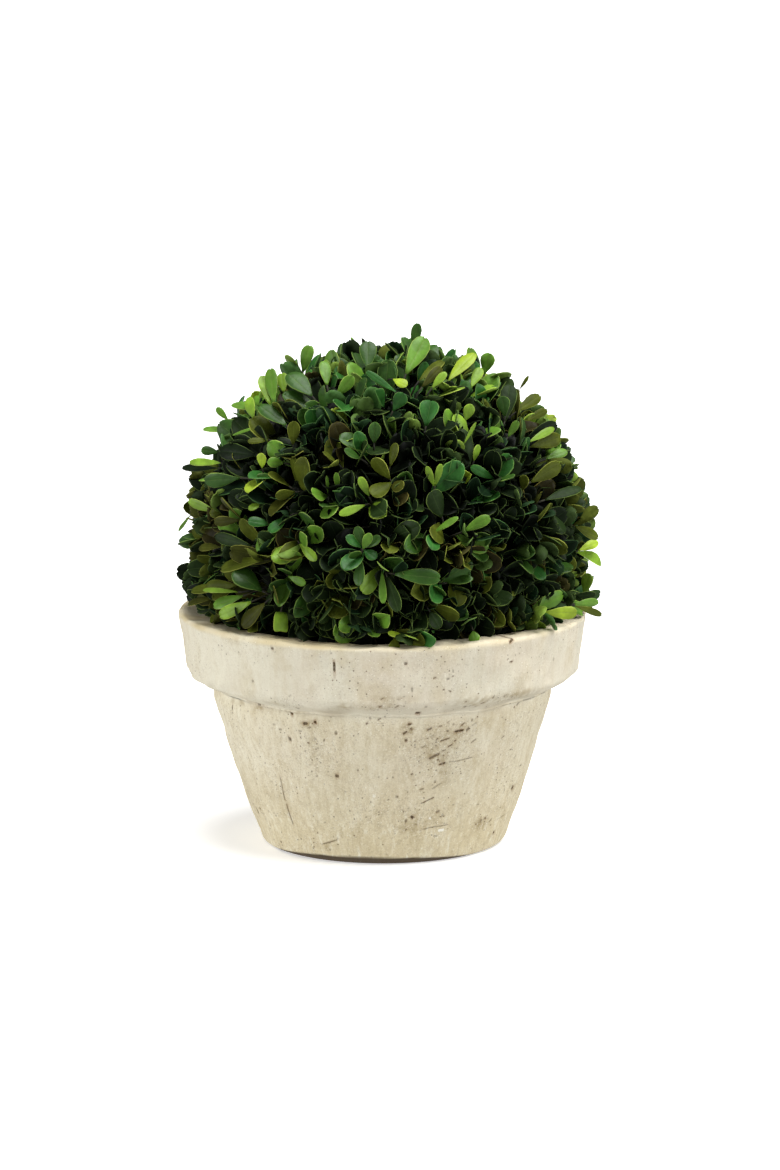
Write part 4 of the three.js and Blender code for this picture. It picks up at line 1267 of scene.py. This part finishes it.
class Bush:
    """Twigs and leaves as they grow, the leaves as rows in their colour's list."""

    def __init__(self, random):
        self.random = random
        self.wood = Heap()
        self.leaves = {colour: [] for colour in LEAF_COLOURS}
        self.inner = []
        self.bough_tips = []

    def grow_boughs(self):
        """Boughs from the stem to the middle of the ball."""
        for i in range(BOUGHS):
            aim = even_direction(i, BOUGHS, -0.35)
            start = stem_centre(self.random.uniform(0.55, 1.0))
            tip = CROWN_CENTRE + aim * self.random.uniform(42, 52)
            middle = (start + tip) / 2 + self.random.normal(scale=2.5, size=3)
            path = curve(start, middle, tip, 7)
            self.wood.add(*tube(path, np.linspace(3.2, 1.7, 7), 8))
            self.bough_tips.append(tip)

    def grow_branchlet(self, root):
        """A thin limb from the nearest bough out to a shoot's root."""
        tips = np.array(self.bough_tips)
        start = tips[np.linalg.norm(tips - root, axis=1).argmin()]
        middle = start * 0.45 + root * 0.55 + self.random.normal(scale=2.5, size=3)
        self.wood.add(*tube(curve(start, middle, root, 4), np.linspace(1.4, 0.8, 4), 4))

    def spray_colour(self, aim):
        """A spray's own colour: brighter colours painted at the top where the key light falls, olive and
        brown at the sides, and deep colours painted at the front for shade.
        """
        # Painted light: sprays that face the key light take brighter colours
        light = max(0, aim @ unit(np.array([0.25, -0.1, 0.9])))
        left = max(0, -aim[0])
        right = max(0, aim[0])
        low = max(0, 0.35 - aim[2])
        # Painted shade: sprays at the front take darker colours
        front = max(0, -aim[1]) * np.interp(aim[2], (0, 0.2, 0.7, 0.85), (0.3, 1, 1, 0))
        weights = {
            "deep": 0.2 + 0.45 * front + 0.12 * left - 0.14 * light,
            "pine": 0.06 + 0.22 * front - 0.05 * light,
            "moss": 0.2 + 0.1 * front - 0.08 * light + 0.12 * right + 0.05 * left,
            "mid": 0.22 - 0.09 * front + 0.1 * light + 0.06 * low,
            "emerald": 0.08 + 0.08 * light + 0.04 * low,
            "olive": 0.08 + 0.12 * abs(aim[0]) + 0.1 * left - 0.06 * light,
            "brown": 0.06 + 0.13 * left - 0.05 * light,
            "sage": 0.04 - 0.02 * front + 0.28 * light ** 2 + 0.09 * low,
            "fresh": 0.02 - 0.014 * front + 0.2 * light ** 2 + 0.01 * right + 0.04 * low,
            "bright": 0.004 + 0.05 * light ** 3,
        }
        names = list(weights)
        shares = np.array([weights[name] for name in names])
        return self.random.choice(names, p=shares / shares.sum())

    def leaf_colour(self, own, middle):
        """Mostly the spray's own colour, sometimes the next one to it, and painted darker for shade inside
        the ball.
        """
        out = middle - CROWN_CENTRE
        depth = CROWN_RADIUS - np.linalg.norm(out) + self.random.normal(scale=2)
        # The painted shade lies deeper at the top and the bottom, and nearer the surface at the front
        depth -= np.interp(out[2], *zip(*COLOUR_DEPTH))
        depth += FRONT_SHADE_DEPTH * max(0, -out[1]) / CROWN_RADIUS
        if depth > SHADE_DEPTH:
            return "shade"
        if depth > HALF_SHADE_DEPTH:
            return HALF_SHADE_COLOURS.get(own, "deep")
        if self.random.random() < 0.68:
            return own
        step = self.random.choice([-1, 1])
        return LEAF_ORDER[min(max(LEAF_ORDER.index(own) + step, 0), len(LEAF_ORDER) - 1)]

    def grow_leaf(self, at, axis, turn, spread, size, colour):
        """A leaf that leaves its twig at an angle, kept inside the ball and off the pot."""
        random = self.random
        along = spread_from(axis, turn, spread)
        length = LEAF_LENGTH * size * random.uniform(0.84, 1.14)
        tip = at + along * length
        reach = np.linalg.norm(tip - CROWN_CENTRE)
        # A few tips stand a little way out of the clipped ball
        limit = CROWN_RADIUS + 1.5 + 3 * random.random() ** 2
        if reach > limit:
            length *= max(0.6, 1 - (reach - limit) / length)
            tip = at + along * length
        if not clear_of_pot(np.array([tip, (at + tip) / 2])).all():
            along = unit(along + UP * 0.45)
            tip = at + along * length
            if not clear_of_pot(np.array([tip, (at + tip) / 2])).all():
                return
        face = unit(axis - (axis @ along) * along + random.normal(scale=0.22, size=3))
        face = unit(face - (face @ along) * along)
        width = length * LEAF_WIDTH / LEAF_LENGTH * random.uniform(0.85, 1.18)
        self.leaves[self.leaf_colour(colour, (at + tip) / 2)].append(leaf_row(
            at, along, face, length, width,
            cup=random.uniform(-0.1, 0.7),
            bend=random.uniform(-0.2, 0.2),
            blunt=random.uniform(0.75, 1.3),
            shift=random.uniform(0.88, 1.15),
        ))

    def grow_pairs(self, start, along, length, colour, pairs):
        """Crossed pairs of leaves back from a twig's tip."""
        turn = self.random.uniform(0, math.pi)
        opening = 1 + FRONT_OPENING * max(0, -along[1])
        for back, spread, size in pairs:
            if back > length:
                break
            at = start + along * (length - back)
            for half in (0, math.pi):
                wobble = self.random.normal(scale=0.22)
                opened = spread * opening + self.random.normal(scale=9)
                self.grow_leaf(at, along, turn + half + wobble, opened, size, colour)
            turn += math.pi / 2 + self.random.normal(scale=0.15)

    def grow_twig(self, start, along, length, radius):
        """A twig that sways a little on its way."""
        sway = self.random.normal(scale=0.6, size=3)
        path = curve(start, start + along * length / 2 + sway, start + along * length, 4)
        self.wood.add(*tube(path, np.linspace(radius, radius * 0.6, 4), 4))

    def grow_shoot(self, root, along, reach):
        """A shoot and its side twigs, kept inside the ball."""
        random = self.random
        self.grow_branchlet(root)
        own = root - CROWN_CENTRE
        half = own @ along
        room = -half + math.sqrt(max(half ** 2 - own @ own + reach ** 2, 1))
        length = max(room - LEAF_LENGTH * 0.8, 3)
        colour = self.spray_colour(unit(own))
        self.grow_twig(root, along, length, 0.9)
        self.grow_pairs(root, along, length, colour, MAIN_PAIRS)
        for share, chance in SIDE_TWIGS:
            if random.random() > chance:
                continue
            start = root + along * length * share
            side = spread_from(along, random.uniform(0, FULL_TURN), random.uniform(34, 58))
            side_length = length * 0.62
            tip = start + side * (side_length + LEAF_LENGTH * 0.6)
            if np.linalg.norm(tip - CROWN_CENTRE) > reach or not clear_of_pot(tip):
                side = unit(side + along * 0.8 + UP * 0.1)
            if not clear_of_pot(start + side * side_length):
                continue
            self.grow_twig(start, side, side_length, 0.65)
            self.grow_pairs(start, side, side_length, colour, SIDE_PAIRS)

    def grow_crown(self):
        """Long shoots, then shoots spread evenly over the ball, more level low down."""
        random = self.random
        for azimuth, elevation, reach in LONG_SHOOTS:
            along = direction_of(azimuth, elevation)
            self.grow_shoot(CROWN_CENTRE + along * SHOOT_ROOT_RADIUS, along, reach)
        for i in range(SHOOTS):
            aim = even_direction(i, SHOOTS, LOWEST_SHOOT)
            # The shoots stand more in line at both sides
            lean = random.uniform((-1, -1, -0.8), (1, 1, 1.2)) * SHOOT_LEAN * (1 - 0.45 * abs(aim[0]))
            root = CROWN_CENTRE + aim * SHOOT_ROOT_RADIUS * random.uniform(0.93, 1.03)
            along = unit(aim + lean + UP * SHOOT_RISE)
            if aim[2] < -0.12:
                level = unit(np.array([along[0], along[1], 0.0]))
                along = unit(level + UP * random.uniform(-0.06, 0.22))
            bare = BARE_LIP_DEPTH * max(0, aim @ BARE_LIP) ** 6 * (aim[2] < 0.05)
            self.grow_shoot(root, along, CROWN_RADIUS - random.uniform(0, CROWN_UNEVEN) - bare)

    def place_leaves(self, sight):
        """The leaves with a place of their own, each on a twig with pairs of leaves round it."""
        placed = []
        for leaf in PLACED_LEAVES.values():
            out = leaf.get("out", 0)
            foot = sight.on_ball(leaf["foot"], PLACED_FOOT + out)
            tip = sight.on_ball(leaf["tip"], PLACED_TIP + out)
            # No leaf leans far towards the camera or away, so each stays as long as a leaf
            level = sight.as_far(leaf["tip"], foot)
            seen = np.linalg.norm(level - foot)
            forward = min(1, seen * PLACED_TILT / max(np.linalg.norm(tip - level), 0.1))
            tip = level + (tip - level) * forward
            along = unit(tip - foot)
            root = CROWN_CENTRE + unit(foot - CROWN_CENTRE - 8 * along) * SHOOT_ROOT_RADIUS
            self.grow_branchlet(root)
            self.wood.add(*tube(curve(root, foot - 6 * along, foot, 5), np.linspace(0.7, 0.4, 5), 4))
            outward = unit(foot - root)
            own = LEAF_ORDER.index(leaf["colour"])
            for back, spread in () if leaf.get("alone") else PLACED_COMPANIONS:
                turn = self.random.uniform(0, FULL_TURN)
                for half in (0, math.pi):
                    beside = LEAF_ORDER[max(own - self.random.integers(0, 3), 1)]
                    self.grow_leaf(foot - back * outward, outward, turn + half, spread, 0.92, beside)
            placed.append((leaf, foot, tip, along))
        for leaf, foot, tip, _ in placed:
            self.clear_view(sight, leaf, foot, tip)
        for leaf, foot, tip, along in placed:
            pixel = (foot - sight.place) @ sight.forward / FOCAL_PIXELS
            face = -sight.forward + 0.3 * UP + self.random.normal(scale=0.3, size=3)
            face = unit(face - (face @ along) * along)
            self.leaves[leaf["colour"]].append(leaf_row(
                foot, along, face, np.linalg.norm(tip - foot), leaf["wide"] * pixel,
                cup=leaf.get("cup", 0.25),
                bend=self.random.uniform(-0.12, 0.06),
                blunt=leaf.get("blunt", self.random.uniform(0.8, 1.15)),
                shift=self.random.uniform(0.92, 1.08),
            ))

    def clear_view(self, sight, leaf, foot, tip):
        """Takes out the leaves that would stand before a placed one, as the camera sees it."""
        start = np.array(leaf["foot"], float)
        run = np.array(leaf["tip"], float) - start
        depth = min((foot - sight.place) @ sight.forward, (tip - sight.place) @ sight.forward)
        for colour, rows in self.leaves.items():
            if not rows:
                continue
            table = np.array(rows)
            hidden = np.zeros(len(table), dtype=bool)
            for share in (0.15, 0.4, 0.7, 0.98):
                # A leaf's foot, its direction and its length
                points = table[:, 0:3] + table[:, 3:6] * table[:, 9:10] * share
                seen = sight.pixel(points) - start
                place = np.clip(seen @ run / (run @ run), 0.35, 1)
                gap = np.linalg.norm(seen - place[:, None] * run, axis=1)
                behind = (points - sight.place) @ sight.forward - depth
                hidden |= (gap < leaf["wide"] * 0.55 + 2.5) & (behind < 5)
                hidden |= (gap < leaf["wide"] * 0.35) & (behind < 13)
            self.leaves[colour] = [row for row, gone in zip(rows, hidden) if not gone]

    def grow_skirt(self):
        """Level shoots just over the pot's lip, long at the sides and short at the front."""
        random = self.random
        for i in range(SKIRT_SHOOTS):
            azimuth = (i + random.uniform(-0.3, 0.3)) * 360 / SKIRT_SHOOTS
            along = direction_of(azimuth + random.uniform(-12, 12), random.uniform(-2, 6))
            root = direction_of(azimuth, 0) * SHOOT_ROOT_RADIUS
            left_rise = SKIRT_LEFT_RISE * (along[0] < FAR_LEFT)
            root = root + (CROWN_CENTRE[0], 0, POT_HEIGHT + random.uniform(3, 9) + left_rise)
            front = max(0, -along[1])
            reach = SKIRT_REACH - SKIRT_FRONT_CUT * front ** 2 - random.uniform(0, 5)
            reach -= BARE_LIP_DEPTH * max(0, along @ BARE_LIP) ** 6
            length = reach - SHOOT_ROOT_RADIUS - LEAF_LENGTH * 0.8
            colour = self.spray_colour(along)
            self.grow_branchlet(root)
            self.grow_twig(root, along, length, 0.9)
            for back, spread, size in SKIRT_PAIRS:
                at = root + along * max(length - back, 0)
                for turn in (0, math.pi):
                    opened = spread * (1 + FRONT_OPENING * front) + random.normal(scale=8)
                    self.grow_leaf(at, along, turn + random.normal(scale=0.35), opened, size, colour)

    def grow_inner_leaves(self):
        """Leaves among the branchlets, simple in shape, painted near-black for the shade deep in the ball."""
        random = self.random
        for i in range(INNER_LEAVES):
            aim = even_direction(i, INNER_LEAVES, -0.5)
            at = CROWN_CENTRE + aim * random.uniform(48, 70)
            along = unit(aim * 0.5 + random.normal(scale=0.6, size=3))
            length = LEAF_LENGTH * random.uniform(0.8, 1.1)
            points = np.array([at, at + along * length])
            if not clear_of_pot(points).all() or points[:, 2].min() < MIX_TOP + 3:
                continue
            face = unit(np.cross(along, random.normal(size=3)))
            self.inner.append(leaf_row(at, along, face, length, LEAF_WIDTH, 0.2, 0.1, 1, 1))


# Leaf meshes

# A leaf's kinds of face, in the order of its materials
BLADE = 0
MARGIN = 1
BACK = 2


class LeafShape:
    """A leaf's points and faces, shared by all leaves of one make.

    Stations run from foot to tip with the breadth at each, and the strips across each station
    have a kind each. The underside is one row of points down the middle.
    """

    def __init__(self, stations, breadths, across, strips):
        stations = np.array(stations)
        across = np.array(across)
        rows = len(stations)
        columns = len(across)
        self.share = np.concatenate([np.repeat(stations, columns), stations])
        self.breadth = np.concatenate([np.repeat(breadths, columns), breadths])
        self.across = np.concatenate([np.tile(across, rows), np.zeros(rows)])
        self.under = np.concatenate([np.zeros(rows * columns), np.ones(rows)])
        row, column = np.meshgrid(np.arange(rows - 1), np.arange(columns - 1), indexing="ij")
        corner = row * columns + column
        upper = np.stack([corner, corner + columns, corner + columns + 1, corner + 1], axis=-1)
        upper_kinds = np.array(strips)[column].ravel()
        spine = rows * columns + np.arange(rows - 1)
        left = np.arange(rows - 1) * columns
        right = left + columns - 1
        lower = np.concatenate([
            np.stack([left, spine, spine + 1, left + columns], axis=-1),
            np.stack([spine, right, right + columns, spine + 1], axis=-1),
        ])
        strip = np.arange(columns - 1)
        last = (rows - 1) * columns
        foot = np.stack([strip, strip + 1, np.full(len(strip), rows * columns)], axis=-1)
        tip_end = np.full(len(strip), rows * columns + rows - 1)
        tip = np.stack([last + strip + 1, last + strip, tip_end], axis=-1)
        self.faces = np.concatenate([halved(upper), halved(lower), foot, tip])
        self.kinds = np.concatenate([
            upper_kinds, upper_kinds,
            np.full(2 * len(lower) + len(foot), BACK), np.full(len(tip), MARGIN),
        ])

    def add_to(self, heap, rows):
        """Adds all leaves of a list of rows to a heap: cupped, bent along, and notched at the tip."""
        rows = np.array(rows)
        at, along, face = rows[:, None, 0:3], rows[:, None, 3:6], rows[:, None, 6:9]
        length, width, cup, bend, blunt, shift = (rows[:, i, None] for i in range(9, 15))
        side = np.cross(face, along)
        half = width / 2 * self.breadth ** blunt
        share = self.share ** shift
        notch = 0.03 * (share > 0.99) * (np.abs(self.across) < 0.2)
        reach = length * (share - notch)
        out = half * self.across
        lift = half * cup * np.abs(self.across) ** 1.6 + length * bend * share ** 2
        lift = lift - half * 0.1 * (np.abs(self.across) > 0.95) - LEAF_THICKNESS * self.under
        points = at + along * reach[..., None] + side * out[..., None] + face * lift[..., None]
        count = len(self.share)
        starts = np.arange(len(rows))[:, None, None] * count
        faces = (self.faces + starts).reshape(-1, 3)
        heap.add(points.reshape(-1, 3), faces, np.tile(self.kinds, len(rows)))


# The midrib is a narrow strip in the underside's colour
FULL_LEAF = LeafShape(
    stations=(0, 0.13, 0.33, 0.55, 0.75, 0.89, 0.965, 1),
    breadths=(0.1, 0.3, 0.68, 0.95, 0.98, 0.74, 0.44, 0.14),
    across=(-1, -0.93, -0.035, 0.035, 0.93, 1),
    strips=(MARGIN, BLADE, BACK, BLADE, MARGIN),
)
SHADE_LEAF = LeafShape(
    stations=(0, 0.25, 0.55, 0.85, 1),
    breadths=(0.12, 0.52, 0.96, 0.84, 0.2),
    across=(-1, -0.9, 0, 0.9, 1),
    strips=(MARGIN, BLADE, BLADE, MARGIN),
)
SIMPLE_LEAF = LeafShape(
    stations=(0, 0.35, 0.8, 1),
    breadths=(0.15, 0.8, 0.85, 0.2),
    across=(-1, 0, 1),
    strips=(BLADE, BLADE),
)


def plant_pieces(sight, random):
    """Stem, wood and a piece of leaves for each colour."""
    bush = Bush(random)
    bush.grow_boughs()
    bush.grow_crown()
    bush.grow_skirt()
    bush.place_leaves(sight)
    bush.grow_inner_leaves()
    bark = bark_finish("box_bark", srgb(74, 58, 38), srgb(138, 116, 84))
    stem_piece(bark, random)
    twig_bark = bark_finish("twig_bark", srgb(20, 20, 9), srgb(42, 40, 20))
    crown = [bush.wood.piece("boughs_and_twigs", [twig_bark])]
    for colour, (upper, rim, under) in LEAF_COLOURS.items():
        heap = Heap()
        shape = SHADE_LEAF if colour == "shade" else FULL_LEAF
        shape.add_to(heap, bush.leaves[colour])
        sheen = DULL_SHEEN if colour in DULL_LEAVES else LEAF_SHEEN
        finishes = [
            leaf_finish(colour + "_leaf_face", srgb(*upper), 0.36, sheen),
            leaf_finish(colour + "_leaf_rim", srgb(*rim), 0.45, sheen),
            leaf_finish(colour + "_leaf_back", srgb(*under), 0.55, sheen),
        ]
        crown.append(heap.piece(colour + "_leaves", finishes))
    heap = Heap()
    SIMPLE_LEAF.add_to(heap, bush.inner)
    inner = leaf_finish("inner_leaf_shade", srgb(*INNER_SHADE_COLOUR), 0.7, 0.05)
    crown.append(heap.piece("inner_leaves", [inner, inner, inner]))
    # Wood and leaves together stand for the clipped mass of the solids
    for piece in crown:
        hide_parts("crown")


# Stage

# How far the floor reaches and how little it lies below the pot, in millimetres, and how much it glows
FLOOR_REACH = 40000
FLOOR_DROP = 0.02
FLOOR_GLOW = 0.45
# Suns: the direction that each comes from, its strength, and how many degrees wide it is in the sky
SUNS = {
    "key": dict(towards=(0.18, -0.1, 0.975), strength=4.7, spread=45),
    "left_fill": dict(towards=(-0.925, -0.38, 0.1), strength=2.1, spread=30),
    "right_fill": dict(towards=(0.925, -0.38, 0.12), strength=1.76, spread=30),
}
# Brightness of the surround from straight down, 0, over eye level, 0.5, to straight up, 1
SURROUND = ((0.0, 0.77), (0.47, 0.77), (0.5, 0.5), (0.56, 0.38), (0.68, 0.2), (1.0, 0.2))


def floor_piece():
    """A plain white floor that fades into the surround."""
    corners = np.array([(-1, -1, 0), (1, -1, 0), (1, 1, 0), (-1, 1, 0)], float)
    points = corners * FLOOR_REACH - (0, 0, FLOOR_DROP)
    finish = Finish("white_floor")
    finish.set(base_color=(0.9, 0.9, 0.9, 1.0), roughness=0.7, emission_color=(1.0, 1.0, 1.0, 1.0))
    finish.shader.inputs["Emission Strength"].default_value = FLOOR_GLOW
    floor = mesh_piece("floor", points, halved([0, 1, 2, 3]), [finish.material])
    # The white floor doesn't light the pot from below
    floor.visible_diffuse = False
    floor.visible_glossy = False


def add_sun(name, towards, strength, spread):
    light = bpy.data.lights.new(name, "SUN")
    light.energy = strength
    light.angle = math.radians(spread)
    lamp = bpy.data.objects.new(name, light)
    lamp.rotation_mode = "QUATERNION"
    lamp.rotation_quaternion = Vector(towards).to_track_quat("Z", "Y")
    bpy.context.scene.collection.objects.link(lamp)


def add_lights():
    """A soft key from above and a little to the right, and a fill from each side."""
    for name, sun in SUNS.items():
        add_sun(name, **sun)
    bpy.context.scene.view_settings.view_transform = "Standard"


def add_surround():
    """A white studio: bright below, as off a white floor, and dim above."""
    world = bpy.data.worlds.new("surround")
    bpy.context.scene.world = world
    world.use_nodes = True
    tree = world.node_tree
    direction = tree.nodes.new("ShaderNodeTexCoord")
    parts = tree.nodes.new("ShaderNodeSeparateXYZ")
    level = tree.nodes.new("ShaderNodeMapRange")
    level.inputs["From Min"].default_value = -1
    level.inputs["From Max"].default_value = 1
    ramp = tree.nodes.new("ShaderNodeValToRGB")
    ramp.color_ramp.elements.remove(ramp.color_ramp.elements[1])
    for place, strength in SURROUND:
        stop = ramp.color_ramp.elements.new(place)
        stop.color = (strength, strength, strength, 1.0)
    ramp.color_ramp.elements.remove(ramp.color_ramp.elements[0])
    background = tree.nodes["Background"]
    tree.links.new(direction.outputs["Generated"], parts.inputs[0])
    tree.links.new(parts.outputs["Z"], level.inputs["Value"])
    tree.links.new(level.outputs["Result"], ramp.inputs["Fac"])
    tree.links.new(ramp.outputs["Color"], background.inputs["Color"])


sight = Sight()
add_camera(sight)
pot_piece(sight, np.random.default_rng(POT_SEED))
mix_piece(np.random.default_rng(MIX_SEED))
plant_pieces(sight, np.random.default_rng(PLANT_SEED))
floor_piece()
add_lights()
add_surround()
